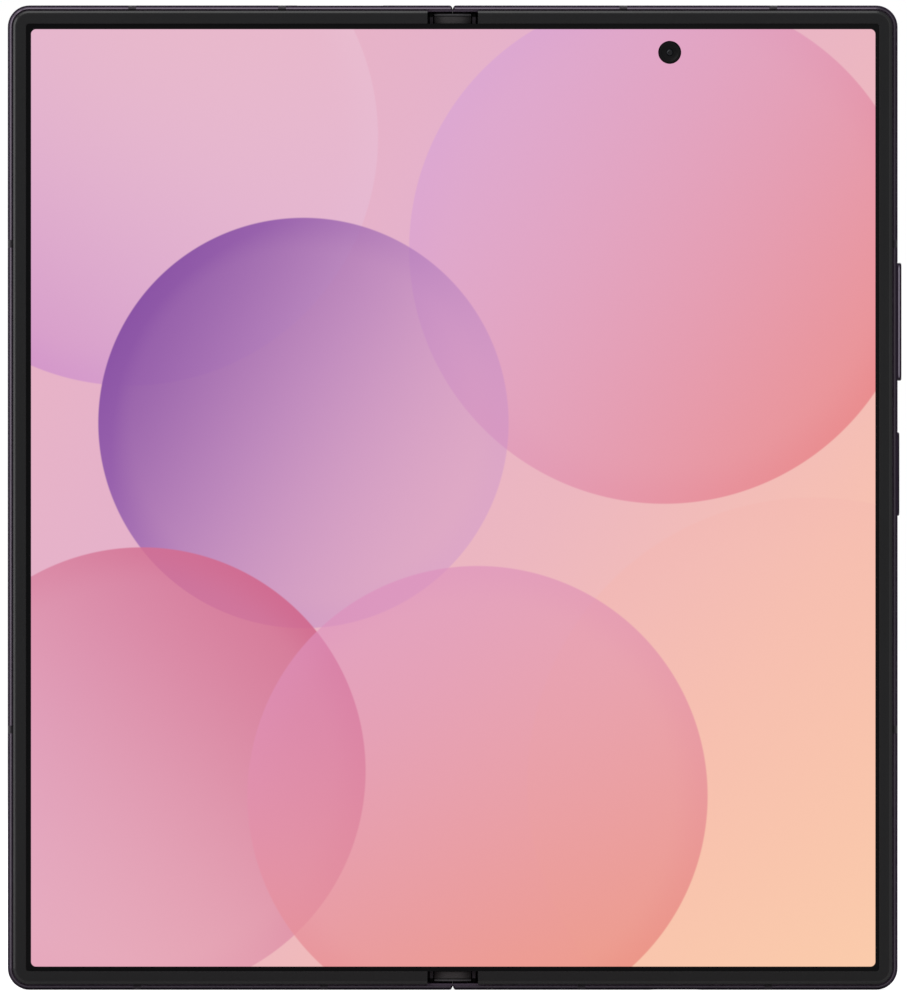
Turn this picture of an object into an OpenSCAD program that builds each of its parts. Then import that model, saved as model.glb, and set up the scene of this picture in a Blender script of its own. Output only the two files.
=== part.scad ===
// Foldable smartphone, opened flat and upright with its large screen facing -Y. The origin is the middle of the
// back face, on the fold line. Each piece is drawn lying on its back: u runs to the right, v up along the fold and
// w out of the screen, and upright() then stands it up. Pieces of the left half are mirrored in u, so that their
// sizes are distances from the fold too.

/* [Body] */
// Width of the open body
body_w = 143.2; // [140:0.1:150]
// Length of the body along the fold
body_h = 158.4; // [156:0.1:166]
// Thickness of one half
body_t = 4.2; // [4.2:0.05:4.6]
// Radius of the outer corners seen from the front
corner_r = 3.5; // [3.2:0.1:5]
// Radius of each half's corners at the fold
fold_corner_r = 0.6; // [0.3:0.1:0.9]
// Radius of the gently bulging side of the rim
side_r = 10; // [6:0.5:30]
// Gap between the two halves at the fold
seam = 0.1; // [0.08:0.01:0.16]
// Running gap around keys, trays and other small movers
play = 0.1; // [0.08:0.01:0.14]

/* [Rim and bezel] */
// Width of the metal rim beside the groove
lip_w = 0.62; // [0.55:0.01:0.7]
// Drop of the rim's edges from the front and back faces
lip_drop = 0.2; // [0.1:0.05:0.3]
// Width of the rim's chamfers
chamfer = 0.29; // [0.2:0.01:0.35]
// Thickness of the rim's walls
wall_t = 1.5; // [1.4:0.05:1.7]
// Thickness of the end walls beside the hinge
end_wall_t = 1.03; // [0.95:0.01:1.1]
// Groove between the rim and the bezel
groove_w = 0.3; // [0.2:0.01:0.4]
// Distance from the body's edge to the bezel's inner edge
bezel_reach = 3.0; // [2.7:0.05:3.3]
// Thickness of the bezel's face
bezel_t = 0.25; // [0.2:0.01:0.28]
// Height of the bezel's foot
bezel_h = 0.85; // [0.8:0.01:0.9]
// Half width of the opening in the bezel at the fold
window_half = 4.07; // [3.95:0.01:4.3]
// Width of each antenna break
break_w = 1.25; // [0.8:0.05:1.6]
// Depth of each antenna break into the wall
break_d = 1.1; // [0.8:0.05:1.2]

/* [Screen] */
// Drop of the screen below the bezel's face
screen_drop = 0.3; // [0.28:0.01:0.36]
// Thickness of the folding screen
screen_t = 0.55; // [0.45:0.01:0.56]
// Distance from the body's edge to the screen's hidden edge
screen_edge = 1.6; // [1.55:0.05:2.2]
// Distance from the body's ends to the screen's edge in the hinge window
screen_fold_edge = 3.01; // [2.95:0.01:3.2]
// Gap under the screen
glue_t = 0.05; // [0.04:0.01:0.08]
// Thickness of the mid plate under the screen
web_t = 0.35; // [0.3:0.01:0.4]
// Diameter of the camera hole in the screen
punch_d = 3.7; // [3.5:0.1:4.2]
// Distance of the camera hole from the body's side
punch_from_side = 36.7; // [34:0.1:40]
// Distance of the camera hole from the body's top
punch_from_top = 7.6; // [7.2:0.1:9]

/* [Back] */
// Thickness of the back and cover glasses
glass_t = 0.45; // [0.35:0.01:0.46]
// Distance from the body's edge to the glass
glass_edge = 0.72; // [0.68:0.01:0.8]
// Chamfer on the glass edges
glass_chamfer = 0.15; // [0.1:0.01:0.25]
// Width of the bare metal strip beside the fold
strip_w = 1.2; // [0.8:0.1:1.4]
// Thickness of the flange at the fold
flange_t = 0.65; // [0.6:0.01:0.7]
// Radius of the camera island's round ends
island_r = 9.2; // [9.0:0.1:10]
// Length of the camera island
island_h = 50; // [49:0.5:56]
// Height of the camera island above the glass
island_t = 1.4; // [1:0.1:2]
// Distance of the island's centre line from the body's side
island_from_side = 13.6; // [13.4:0.1:15]
// Distance of the island's top from the body's top
island_from_top = 10; // [8:0.5:14]
// Height of the lens rings above the island
ring_t = 1.0; // [0.6:0.1:1.4]
// Outer radius of the lens rings
ring_r = 6.6; // [6:0.1:6.9]
// Distance between lens centres
lens_pitch = 15.2; // [14.5:0.1:15.6]

/* [Hinge] */
// Depth of the fold axes below the front face
axis_drop = 1.0; // [0.95:0.01:1.05]
// Gap between the two front faces when closed
closed_gap = 0.5; // [0.4:0.02:0.6]
// Wall of the spine cover
spine_wall = 0.5; // [0.4:0.01:0.55]
// Running gap between the spine and the halves
hinge_gap = 0.1; // [0.08:0.01:0.12]
// Gap between the end walls and the spine's ends
spine_end_gap = 0.32; // [0.25:0.01:0.4]
// Length of the spine's end caps along the fold
cap_len = 1.6; // [1.2:0.1:1.65]
// Half width of the end caps
cap_half = 3.0; // [2.6:0.1:3.0]
// Thickness of the wing plates and the centre plate
wing_t = 0.3; // [0.2:0.01:0.3]
// Distance from the fold to the wing plates' pivots
wing_pivot = 6.5; // [6:0.1:7]
// Half width of the centre plate
centre_half = 1.05; // [0.8:0.05:1.1]
// Distance of the hinge modules' middles from the body's ends
module_from_end = 24.2; // [23:0.1:30]
// Length of each bearing block along the fold
block_len = 1.4; // [1.3:0.05:1.5]
// Length of the detent springs' bay
spring_len = 6; // [5:0.5:6.5]
// Length of the gears' bay
gear_bay = 3.2; // [3:0.1:3.5]
// Length of each rotator arm's bay
arm_bay = 6; // [5:0.5:6.5]
// Radius of the fixed core in each rotator arm
core_r = 1.05; // [0.95:0.01:1.1]
// Thickness of the rotator arms' plates
arm_t = 0.45; // [0.35:0.01:0.46]
// Height of the rotator arms' plates above the back face
arm_w = 2.05; // [2.02:0.01:2.1]
// Distance from the fold to the end of the rotator arms
arm_reach = 12; // [11.5:0.5:13]
// Pitch radius of the timing gears
gear_r = 0.6; // [0.6:0.01:0.61]
// Height of the gear shafts above the back face
gear_w = 2.2; // [2.18:0.01:2.22]
// Radius of the gear shafts
shaft_r = 0.22; // [0.2:0.01:0.24]
// Running gap between gears and shafts
shaft_play = 0.02; // [0.02:0.005:0.03]
// Thickness of the timing arms' plates
sync_t = 0.22; // [0.2:0.01:0.22]
// Distance from the fold to the end of the timing arms
sync_reach = 9.5; // [9:0.1:10.5]
// Width of each hinge flex cable
cable_w = 12; // [10:0.5:14]
// Distance of the flex cables from the middle of the fold
cable_v = 14; // [12:0.5:16]
// Thickness of the flex cables
cable_t = 0.15; // [0.1:0.01:0.16]
// Distance between the screw posts of the centre plate
post_pitch = 30; // [26:0.5:30]

/* [Keys and tray] */
// Width of both side keys
key_w = 2.0; // [1.7:0.1:2.1]
// Length of the volume rocker
rocker_len = 19; // [17:0.5:21]
// Height of the volume rocker's middle above the body's middle
rocker_v = 28.3; // [27:0.1:31]
// Distance that the volume rocker stands out
rocker_out = 0.6; // [0.5:0.05:0.8]
// Length of the side key
side_key_len = 13.5; // [12:0.5:15]
// Height of the side key's middle above the body's middle
side_key_v = 3.8; // [2:0.1:5]
// Distance that the side key stands out
side_key_out = 0.27; // [0.25:0.01:0.35]
// Gap behind the keys' flanges
key_travel = 0.25; // [0.23:0.01:0.3]
// Length of the SIM tray's face
tray_len = 13.6; // [13.3:0.1:14.5]
// Distance of the SIM tray's middle from the fold
tray_u = 18.1; // [17:0.1:20]
// Thickness of the SIM tray's face along the fold
tray_face_t = 1.2; // [1:0.05:1.3]
// Thickness of the SIM tray's carrier
tray_t = 0.9; // [0.8:0.05:1]
// Length of the SIM tray's carrier
tray_depth = 15.5; // [14:0.5:17]
// Diameter of the SIM ejector hole
eject_d = 0.9; // [0.8:0.05:1]

/* [Port] */
// Width of the port's opening
port_w = 8.34; // [8.3:0.01:8.4]
// Height of the port's opening
port_h = 2.56; // [2.5:0.01:2.56]
// Wall of the port's shell
port_wall = 0.13; // [0.1:0.01:0.13]
// Depth of the port's opening
port_depth = 6.7; // [6.2:0.1:7]
// Height of the port's middle above the back face
port_mid = 1.9; // [1.88:0.01:1.92]

/* [Insides] */
// Distance from the fold to both boards
board_in = 13; // [12.8:0.1:14]
// Distance from the body's side to the main board
board_side = 21.6; // [21:0.1:26]
// Distance of the main board above the middle of the fold
board_low = 15; // [14:0.5:20]
// Distance from the body's top to the main board
board_top = 13.2; // [11.5:0.1:16]
// Distance from the fold to the right battery
battery_in = 20; // [18:0.5:24]
// Distance from the body's side to the right battery
battery_side = 5.6; // [5:0.1:9]
// Distance from the body's bottom to the right battery
battery_foot = 31.2; // [30:0.1:36]
// Distance between the right battery and the main board
battery_board_gap = 3; // [2:0.1:6]
// Thickness of the right battery
battery_t = 1.75; // [1.5:0.05:1.8]
// Distance from the fold to the left battery
left_battery_in = 17.6; // [16:0.1:22]
// Distance from the body's side to the left battery
left_battery_side = 4; // [3.5:0.1:8]
// Distance from the body's bottom to the left battery
left_battery_foot = 11.2; // [8:0.1:16]
// Distance between the left battery and its board
left_battery_gap = 8; // [5:0.5:12]
// Distance from the body's side to the left board
left_board_side = 7.6; // [6:0.1:12]
// Distance from the body's top to the left board
left_board_top = 23.2; // [19:0.1:26]
// Length of the left board along the fold
left_board_h = 20; // [16:0.5:24]
// Thickness of the left battery
left_battery_t = 1.45; // [1.2:0.05:1.5]
// Thickness of the circuit boards
board_t = 0.5; // [0.4:0.05:0.6]
// Height of the shield cans
can_t = 0.7; // [0.5:0.05:0.8]
// Thickness of the cover screen's panel
cover_panel_t = 0.7; // [0.6:0.05:0.75]
// Radius of the charging coil
coil_r = 20; // [16:0.5:21]
// Side of the rear camera modules
camera_side = 12.4; // [11:0.1:13]
// Side of the two front camera modules
front_camera_side = 6.2; // [5:0.1:6.6]
// Width and length of the loudspeaker
speaker_size = [17, 19];
// Distance from the body's side to the loudspeaker's middle
speaker_side = 14.8; // [13:0.1:18]
// Distance from the fold to the vibration motor
motor_in = 7.5; // [7:0.1:9]
// Distance between the vibration motor and the port's middle
motor_port_gap = 12.3; // [12:0.1:14]
// Distance from the port's middle to the inner edge of the port's board
port_board_reach = 11; // [10:0.1:12]
// Clearance between the port's board and the loudspeaker
port_board_gap = 1.5; // [1:0.1:3]
// Length of the port's board
port_board_h = 9; // [8:0.1:9.5]
// Length of the upper magnets
magnet_top_h = 16; // [10:0.5:18]
// Distance from the body's top to the upper magnets
magnet_top = 13.2; // [12:0.1:16]
// Length of the lower magnets
magnet_foot_h = 20; // [10:0.5:24]
// Distance from the body's bottom to the lower magnets
magnet_foot = 17.2; // [14:0.1:20]

/* [Hidden] */
$fn = 48;
arc_n = 8;           // flats in each quarter turn of an outline
half_w = body_w / 2;
half_h = body_h / 2;
mid_w = body_t / 2;
edge = seam / 2;
// Levels from the back face up
bezel_w = body_t - bezel_h;
screen_top = body_t - screen_drop;
screen_w = screen_top - screen_t;
web_top = screen_w - glue_t;
web_w = web_top - web_t;
wing_top = web_top;
wing_w = wing_top - wing_t;
wing_mid = wing_top - wing_t / 2;
rail_top = 1.85;     // inner rail, below every tilted arm
rail_u = 3.85;
rail_t = 0.75;
glass_gap = 0.05;
bezel_edge = lip_w + groove_w;
bezel_foot = 0.53;
lip_step = 0.17;     // rise of the rim's chamfers
screen_r = corner_r - screen_edge;
// Fold axes and the spine around them
axis_w = body_t - axis_drop;
axis_u = axis_drop + closed_gap / 2;
spine_r = axis_w - flange_t - hinge_gap;
cavity_r = spine_r - spine_wall;
spine_top = wing_w - hinge_gap;
spine_half = half_h - end_wall_t - spine_end_gap;
plate_end_gap = 0.35;
plate_half = spine_half - cap_len - plate_end_gap;
module_v = half_h - module_from_end;
post_v = [for (i = [-1:1]) i * post_pitch];
wing_inner = centre_half + 0.15;
floor_w = axis_w - cavity_r;
block_top = wing_w;
ring_out = cavity_r - 0.05;
ring_in = core_r + 0.05;
arm_top = arm_w + arm_t;
notch_w = arm_w - 0.08;
ring_low = -145;     // ends of the rotator arms' ring sectors, in degrees
ring_high = -19;
// Bays of one hinge module, as distances along the fold from its middle
module_len = 5 * block_len + spring_len + gear_bay + 2 * arm_bay;
bay_a = -module_len / 2;
bay_spring = bay_a + block_len;
bay_b = bay_spring + spring_len;
bay_gear = bay_b + block_len;
bay_c = bay_gear + gear_bay;
bay_left = bay_c + block_len;
bay_d = bay_left + arm_bay;
bay_right = bay_d + block_len;
bay_e = bay_right + arm_bay;
bay_end = bay_e + block_len;
// Timing gears
teeth = 10;
gear_m = 2 * gear_r / teeth;
gear_tip = gear_r + gear_m;
gear_root = gear_r - 1.25 * gear_m;
gear_gap = 0.1;
tooth_step = 360 / teeth;
sync_w = gear_w - 0.17;
gear_places = [-3 * gear_r, -gear_r, gear_r, 3 * gear_r];
spring_r = 0.42;     // detent springs
spring_wire = 0.13;
spring_turns = 7;
// Flex cables: sockets on the boards, and the cables' path from there to the spine's floor
cable_plug_u = [8, 11];
cable_w0 = 2.45;
cable_path = [[cable_plug_u[1], cable_w0], [2.35, cable_w0], [1.75, 2.25], [1.35, 1.75], [0.95, floor_w + 0.15],
    [0.6, floor_w + 0.02]];
// Keys
key_flange = 0.3;
key_rise = 0.7;      // how far the flanges reach past the keys
key_mid = mid_w - 0.05;
// SIM tray and its reader
tray_sink = 0.08;    // depth of the tray's face below the rim
tray_face_v = half_h - tray_sink - tray_face_t;
tray_body_w = tray_len - 1.2;
eject_u = tray_u - tray_len / 2 + 1.6;
sim_size = [8.9, 12.4];
reader_v = [half_h - wall_t - tray_depth - 1.2, half_h - wall_t - 0.05];
// Fasteners
screw_r = 0.4;
screw_head_r = 0.8;
screw_head_t = 0.3;
screw_play = 0.02;
arm_screw_u = arm_reach - 2.2;
boss_r = 1.1;
// Inner layout, as distances from the fold and from the middle of the body
under_web = 0.05;    // gap between the mid plate and what lies under it
half_mid = half_w / 2;
port_u = half_mid;
board_w = web_w - 0.95;
board_u = [board_in, half_w - board_side];
board_v = [board_low, half_h - board_top];
island_u = half_w - island_from_side;
island_v = half_h - island_from_top - island_h / 2;
lens_v = [for (i = [-1:1]) island_v - i * lens_pitch];
lens_hole_r = ring_r - 1.2;
lens_glass_r = ring_r - 0.8;
lens_glass_t = 0.4;
lens_glass_w = 0.05 - island_t - ring_t;
flash_r = 1.1;
flash_u = island_u - island_r + 2.6;
flash_v = (lens_v[0] + lens_v[1]) / 2;
flash_top = 0.8;
island_flange = 0.8; // half width of the island's flange, to each side of its edge
island_flange_t = 0.2;
island_seat = glass_t + 0.02;
punch_u = half_w - punch_from_side;
punch_v = half_h - punch_from_top;
battery_us = [battery_in, half_w - battery_side];
battery_vs = [battery_foot - half_h, board_low - battery_board_gap];
battery_u = (battery_us[0] + battery_us[1]) / 2;
battery_v = (battery_vs[0] + battery_vs[1]) / 2;
battery_w0 = web_w - under_web - battery_t;
coil_t = 0.2;
left_board_u = [board_in, half_w - left_board_side];
left_board_v = [half_h - left_board_top - left_board_h, half_h - left_board_top];
left_battery_us = [left_battery_in, half_w - left_battery_side];
left_battery_vs = [left_battery_foot - half_h, left_board_v[0] - left_battery_gap];
speaker_u = half_w - speaker_side;
motor_us = [motor_in, port_u - motor_port_gap];
port_board_u = [port_u - port_board_reach, speaker_u - speaker_size.x / 2 - port_board_gap];
port_point_in = 3;    // screws from the board's two sides
port_point_v = 14;    // and from the body's bottom
port_block_in = 2;    // solder block from the screws
port_block_v = [1, 4.5];
port_block_t = 0.5;
tongue_w = 6.6;
tongue_t = 0.7;
tongue_root_w = 7.8;
tongue_root_t = 1.6;
tongue_root_len = 1.2;
motor_h = 8;
low_v = -half_h + wall_t;
top_breaks = [27.45, 51.55];
low_breaks = [20.7, 50.75];
side_breaks = [40.8, -37.3];

// ---- Placing ----
module upright() rotate([90, 0, 0]) children();
module on_left() mirror([1, 0, 0]) children();
module both_ends() for (m = [0, 1]) mirror([0, m, 0]) children();
module in_modules() both_ends() translate([0, module_v, 0]) children();
module box(u, v, w) translate([u[0], v[0], w[0]]) cube([u[1] - u[0], v[1] - v[0], w[1] - w[0]]);
module along_v(v0, v1) translate([0, v1, 0]) rotate([90, 0, 0]) linear_extrude(v1 - v0) children();
module along_u(u0, u1) translate([u0, 0, 0]) rotate([90, 0, 90]) linear_extrude(u1 - u0) children();
module slab(w0, w1) translate([0, 0, w0]) linear_extrude(w1 - w0) children();
module rod_w(u, v, r, w0, w1) translate([u, v, w0]) cylinder(r = r, h = w1 - w0);
module rod_v(u, w, r, v0, v1) translate([u, v1, w]) rotate([90, 0, 0]) cylinder(r = r, h = v1 - v0);
module rod_u(v, w, r, u0, u1) translate([u0, v, w]) rotate([0, 90, 0]) cylinder(r = r, h = u1 - u0);

// ---- Outlines ----
function arc(c, r, a0, a1, n) = [for (i = [0:n]) let (a = a0 + (a1 - a0) * i / n) c + r * [cos(a), sin(a)]];
function rounded(w, h, r, c = [0, 0], n = arc_n) = [for (q = [0:3]) let (
    s = [q == 0 || q == 3 ? 1 : -1, q < 2 ? 1 : -1])
    each arc(c + [s.x * (w / 2 - r), s.y * (h / 2 - r)], r, 90 * q, 90 * q + 90, n)];
// Outline of one half, inset from the body's edge, with a straight side at u = u0.
function half_plan(inset, u0, r) = concat([[u0, inset - half_h]],
    arc([half_w - inset - r, inset + r - half_h], r, -90, 0, arc_n),
    arc([half_w - inset - r, half_h - inset - r], r, 0, 90, arc_n),
    [[u0, half_h - inset]]);
// Outline across the spine, at radius r about both fold axes and cut flat at the given top.
function spine_outline(r, top) = let (a = asin((axis_w - top) / r)) concat(
    arc([-axis_u, axis_w], r, 180 + a, 270, 2 * arc_n), arc([axis_u, axis_w], r, 270, 360 - a, 2 * arc_n));

// ---- Rims: a profile of [distance from the edge, w] run round the top, side and bottom of one half ----
module rim(profile, u0) {
    run = half_h - corner_r;
    along_v(-run, run) polygon([for (p = profile) [half_w - p[0], p[1]]]);
    both_ends() {
        along_u(u0, half_w - corner_r) polygon([for (p = profile) [half_h - p[0], p[1]]]);
        translate([half_w - corner_r, half_h - corner_r, 0])
            rotate_extrude(angle = 90) polygon([for (p = profile) [corner_r - p[0], p[1]]]);
    }
}
side_a = asin((mid_w - lip_drop - 2 * lip_step - 0.2) / side_r);
// Outer face of the rim from the back chamfer, over the bulging side, to the front chamfer.
side_face = concat(
    [[lip_w, lip_drop / 2], [lip_w - chamfer, lip_drop / 2 + lip_step]],
    [for (i = [0:arc_n]) let (a = side_a * (2 * i / arc_n - 1)) [side_r * (1 - cos(a)), mid_w + side_r * sin(a)]],
    [[lip_w - chamfer, body_t - lip_drop - lip_step], [lip_w, body_t - lip_drop]]);
wall_profile = concat(side_face, [[lip_w, bezel_w], [wall_t, bezel_w], [wall_t, glass_t + glass_gap],
    [lip_w, glass_t + glass_gap]]);
break_profile = concat(side_face, [[lip_w, bezel_w], [break_d, bezel_w], [break_d, glass_t + glass_gap],
    [lip_w, glass_t + glass_gap]]);
bezel_bevel = 0.22;
bezel_profile = [[bezel_edge, bezel_w], [bezel_edge, body_t - bezel_bevel],
    [bezel_edge + 1.5 * bezel_bevel, body_t], [bezel_reach - 0.08, body_t], [bezel_reach, body_t - 0.08],
    [bezel_reach, body_t - bezel_t], [bezel_edge + bezel_foot, body_t - bezel_t],
    [bezel_edge + bezel_foot, bezel_w]];
glass_profile = [[glass_edge, glass_t], [glass_edge, glass_chamfer], [glass_edge + glass_chamfer, 0],
    [glass_edge + 1.8, 0], [glass_edge + 1.8, glass_t]];

module break_slots(depth, w0, w1) {
    for (u = top_breaks) box([u - break_w / 2, u + break_w / 2], [half_h - depth, half_h + 1], [w0, w1]);
    for (u = low_breaks) box([u - break_w / 2, u + break_w / 2], [-half_h - 1, depth - half_h], [w0, w1]);
    for (v = side_breaks) box([half_w - depth, half_w + 1], [v - break_w / 2, v + break_w / 2], [w0, w1]);
}
module antenna_breaks() {
    for (u = top_breaks) along_u(u - break_w / 2, u + break_w / 2)
        polygon([for (p = break_profile) [half_h - p[0], p[1]]]);
    for (u = low_breaks) along_u(u - break_w / 2, u + break_w / 2)
        polygon([for (p = break_profile) [p[0] - half_h, p[1]]]);
    for (v = side_breaks) along_v(v - break_w / 2, v + break_w / 2)
        polygon([for (p = break_profile) [half_w - p[0], p[1]]]);
}

// ---- Shared half frame: walls, mid plate, flange and rail ----
module fold_rounding() {
    difference() {
        box([-1, axis_u], [-half_h - 1, half_h + 1], [axis_w, body_t + 1]);
        rod_v(axis_u, axis_w, axis_u - edge, -half_h - 2, half_h + 2);
    }
    both_ends() translate([edge, half_h - fold_corner_r, -1]) linear_extrude(body_t + 2) difference() {
        translate([-1, 0]) square([1 + fold_corner_r, fold_corner_r + 1]);
        translate([fold_corner_r, 0]) circle(r = fold_corner_r);
    }
}
module half_frame(bay) {
    inner = wall_t - 0.1;
    web_edge = wing_pivot + 0.05;
    difference() {
        union() {
            difference() {
                rim(wall_profile, edge);
                box([-1, window_half], [-(half_h - end_wall_t), half_h - end_wall_t], [flange_t, body_t + 1]);
            }
            box([web_edge, half_w - inner], [inner - half_h, half_h - inner], [web_w, web_top]);
            box([edge, strip_w], [lip_w - half_h, half_h - lip_w], [0, flange_t]);
            box([edge, rail_u + rail_t], [inner - half_h, half_h - inner], [glass_t, flange_t]);
            box([rail_u, rail_u + rail_t], [inner - half_h, half_h - inner], [glass_t, rail_top]);
            in_modules() for (t = [0.25, 0.75])
                rod_w(arm_screw_u, bay + t * arm_bay, boss_r, arm_top, web_top);
        }
        fold_rounding();
        break_slots(break_d, -1, body_t + 1);
        rod_v(wing_pivot, wing_mid, wing_t / 2 + 0.04, -half_h + wall_t, half_h - wall_t);
        arm_screw_holes(bay, web_top - 0.08);
    }
}
module arm_screw_holes(bay, top) in_modules() for (t = [0.25, 0.75])
    rod_w(arm_screw_u, bay + t * arm_bay, screw_r + screw_play, 0, top);
module key_slot(v, len) box([half_w - wall_t - 1, half_w + 1], [v - len / 2 - play, v + len / 2 + play],
    [key_mid - key_w / 2 - play, key_mid + key_w / 2 + play]);

module standoffs(points) for (p = points) rod_w(p[0], p[1], boss_r, board_w + board_t, web_w + 0.1);
module standoff_holes(points) for (p = points) rod_w(p[0], p[1], screw_r + screw_play, 0, web_top - 0.08);
main_points = [[board_u[0] + 4.5, board_v[0] + 2], [board_u[1] - 2, board_v[0] + 2],
    [board_u[0] + 2, board_v[1] - 2], [board_u[1] - 8, board_v[1] - 2]];
left_points = [for (u = [left_board_u[0] + 4.5, left_board_u[1] - 4], v = [left_board_v[0] + 2.5,
    left_board_v[1] - 2.5]) [u, v]];
port_points = [for (u = [port_board_u[0] + port_point_in, port_board_u[1] - port_point_in])
    [u, -half_h + port_point_v]];

module port_outline(grow) polygon(rounded(port_w + 2 * grow, port_h + 2 * grow, port_h / 2 + grow,
    [port_u, port_mid], 2 * arc_n));

rib_gap = 0.6;
rib_t = 0.8;
module battery_ribs(us, vs, w0) for (v = [vs[0] - rib_gap - rib_t, vs[1] + rib_gap])
    box(us, [v, v + rib_t], [w0, web_w + 0.1]);
module right_frame() upright() color("#4c474d") difference() {
    union() {
        half_frame(bay_right);
        standoffs(main_points);
        standoffs(port_points);
        battery_ribs(battery_us, battery_vs, 1.2);
    }
    key_slot(rocker_v, rocker_len);
    key_slot(side_key_v, side_key_len);
    along_v(-half_h - 1, -half_h + wall_t + 1) port_outline(port_wall + 0.03);
    box([port_u - port_w / 2 - 0.6, port_u + port_w / 2 + 0.6], [low_v - 0.2, low_v + port_depth],
        [web_w - 1, web_top + 1]);
    for (i = [0:5]) rod_v(speaker_u - 5 + 2 * i, mid_w, 0.55, -half_h - 1, low_v + 0.1);
    rod_v(half_mid - 9, mid_w, 0.4, -half_h - 1, low_v + 0.1);
    rod_v(half_mid + 4, mid_w, 0.4, half_h - wall_t - 0.1, half_h + 1);
    rod_w(punch_u, punch_v, punch_d / 2 + 0.15, 0, body_t);
    standoff_holes(main_points);
    standoff_holes(port_points);
}
module left_frame() upright() on_left() color("#4c474d") difference() {
    union() {
        half_frame(bay_left);
        standoffs(left_points);
        battery_ribs(left_battery_us, left_battery_vs, 1.5);
    }
    box([tray_u - tray_len / 2 - play, tray_u + tray_len / 2 + play], [half_h - wall_t - 1, half_h + 1],
        [key_mid - key_w / 2 - play, key_mid + key_w / 2 + play]);
    for (i = [0:4]) rod_v(half_mid + 5.5 + 1.6 * i, mid_w, 0.4, half_h - wall_t - 0.1, half_h + 1);
    rod_v(half_mid, mid_w, 0.4, -half_h - 1, low_v + 0.1);
    standoff_holes(left_points);
}

module right_antenna_breaks() upright() color("#1f1c22") antenna_breaks();
module left_antenna_breaks() upright() on_left() color("#1f1c22") antenna_breaks();
module right_bezel() upright() color("#262527") rim(bezel_profile, window_half);
module left_bezel() upright() on_left() color("#262527") rim(bezel_profile, window_half);

// ---- Screen ----
module display_half() slab(screen_w, screen_top) polygon(half_plan(screen_edge, wing_pivot, screen_r));
module display_right() upright() color("#e9a9b8") difference() {
    display_half();
    rod_w(punch_u, punch_v, punch_d / 2, 0, body_t);
}
module display_left() upright() on_left() color("#e3aecb") display_half();
module display_fold_section() upright() color("#dca2bd") {
    full = half_h - screen_edge;
    short = half_h - screen_fold_edge;
    slab(screen_w, screen_top) polygon([
        [-wing_pivot, -full], [-window_half, -full], [-window_half, -short], [window_half, -short],
        [window_half, -full], [wing_pivot, -full], [wing_pivot, full], [window_half, full],
        [window_half, short], [-window_half, short], [-window_half, full], [-wing_pivot, full]]);
}

// ---- Backs ----
module glass(u0) {
    rim(glass_profile, u0);
    inner = glass_edge + 1.7;
    slab(0, glass_t) polygon(half_plan(inner, u0, corner_r - glass_edge - 1.7 + 0.9));
}
module island_plan(grow) polygon(rounded(2 * (island_r + grow), island_h + 2 * grow, island_r + grow,
    [island_u, island_v], 12));
module right_back_glass() upright() color("#2b2a30") difference() {
    glass(strip_w + glass_gap);
    slab(-1, 1) island_plan(glass_gap);
}
module cover_glass() upright() on_left() color("#141318") glass(strip_w + glass_gap);
module cover_display_panel() upright() on_left() color("#1b1b22") difference() {
    slab(glass_t + 0.02, glass_t + 0.02 + cover_panel_t)
        polygon(half_plan(wall_t + 0.4, rail_u + rail_t + 0.2, 1.6));
    rod_w(half_mid, punch_v, punch_d / 2 + 0.4, 0, body_t);
}
module camera_island() upright() color("#3b393f") difference() {
    union() {
        slab(-island_t, island_seat) island_plan(0);
        slab(island_seat, island_seat + island_flange_t) difference() {
            island_plan(island_flange);
            island_plan(-island_flange);
        }
    }
    for (v = lens_v) rod_w(island_u, v, lens_hole_r, -island_t - 1, body_t);
    rod_w(flash_u, flash_v, flash_r + 0.05, -island_t - 1, body_t);
}
module camera_lens_rings() upright() color("#57545a") for (v = lens_v) difference() {
    rod_w(island_u, v, ring_r, -island_t - ring_t, -island_t);
    rod_w(island_u, v, lens_glass_r + 0.02, -island_t - ring_t - 1, -island_t - ring_t + lens_glass_t + 0.05);
    rod_w(island_u, v, lens_hole_r, -island_t - ring_t - 1, 1);
}
module camera_lens_covers() upright() color("#101014") for (v = lens_v)
    rod_w(island_u, v, lens_glass_r, lens_glass_w, lens_glass_w + lens_glass_t);
// A camera module: a square body under the mid plate and a stepped barrel up to the lens cover.
module camera_module(v, barrel_r, body_w0) difference() {
    barrel_w = lens_glass_w + lens_glass_t + 0.15;
    union() {
        slab(body_w0, web_w - under_web) polygon(rounded(camera_side, camera_side, 0.8, [island_u, v], 2));
        rod_w(island_u, v, lens_hole_r - 0.3, -island_t + 0.3, body_w0 + 0.1);
        rod_w(island_u, v, barrel_r, barrel_w, body_w0 + 0.1);
    }
    translate([island_u, v, barrel_w - 0.1]) cylinder(r1 = barrel_r - 0.3, r2 = barrel_r * 0.45, h = 1);
}
module wide_camera_module() upright() color("#222026") camera_module(lens_v[1], 4.2, 0.7);
module ultrawide_camera_module() upright() color("#222026") camera_module(lens_v[0], 3.4, 0.9);
module tele_camera_module() upright() color("#222026") camera_module(lens_v[2], 3.8, 0.8);
module flash_window() upright() color("#d8d2bd") union() {
    rod_w(flash_u, flash_v, flash_r, -island_t, flash_top);
    rod_w(flash_u, flash_v, flash_r + 0.5, island_seat, flash_top);
}

// ---- Right half's insides ----
module selfie_camera() upright() color("#121118") difference() {
    union() {
        rod_w(punch_u, punch_v, punch_d / 2 - 0.12, 2, screen_top - 0.05);
        slab(1, 2.5) polygon(rounded(front_camera_side, front_camera_side, 0.6, [punch_u, punch_v], 2));
    }
    translate([punch_u, punch_v, screen_top - 0.25]) cylinder(r1 = 0.5, r2 = 1.2, h = 0.3);
}
module main_board() upright() color("#1f4d3a") difference() {
    union() {
        box(board_u, board_v, [board_w, board_w + board_t]);
        cable_tongue(board_u[0], board_v[0]);
    }
    standoff_holes(main_points);
}
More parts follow.
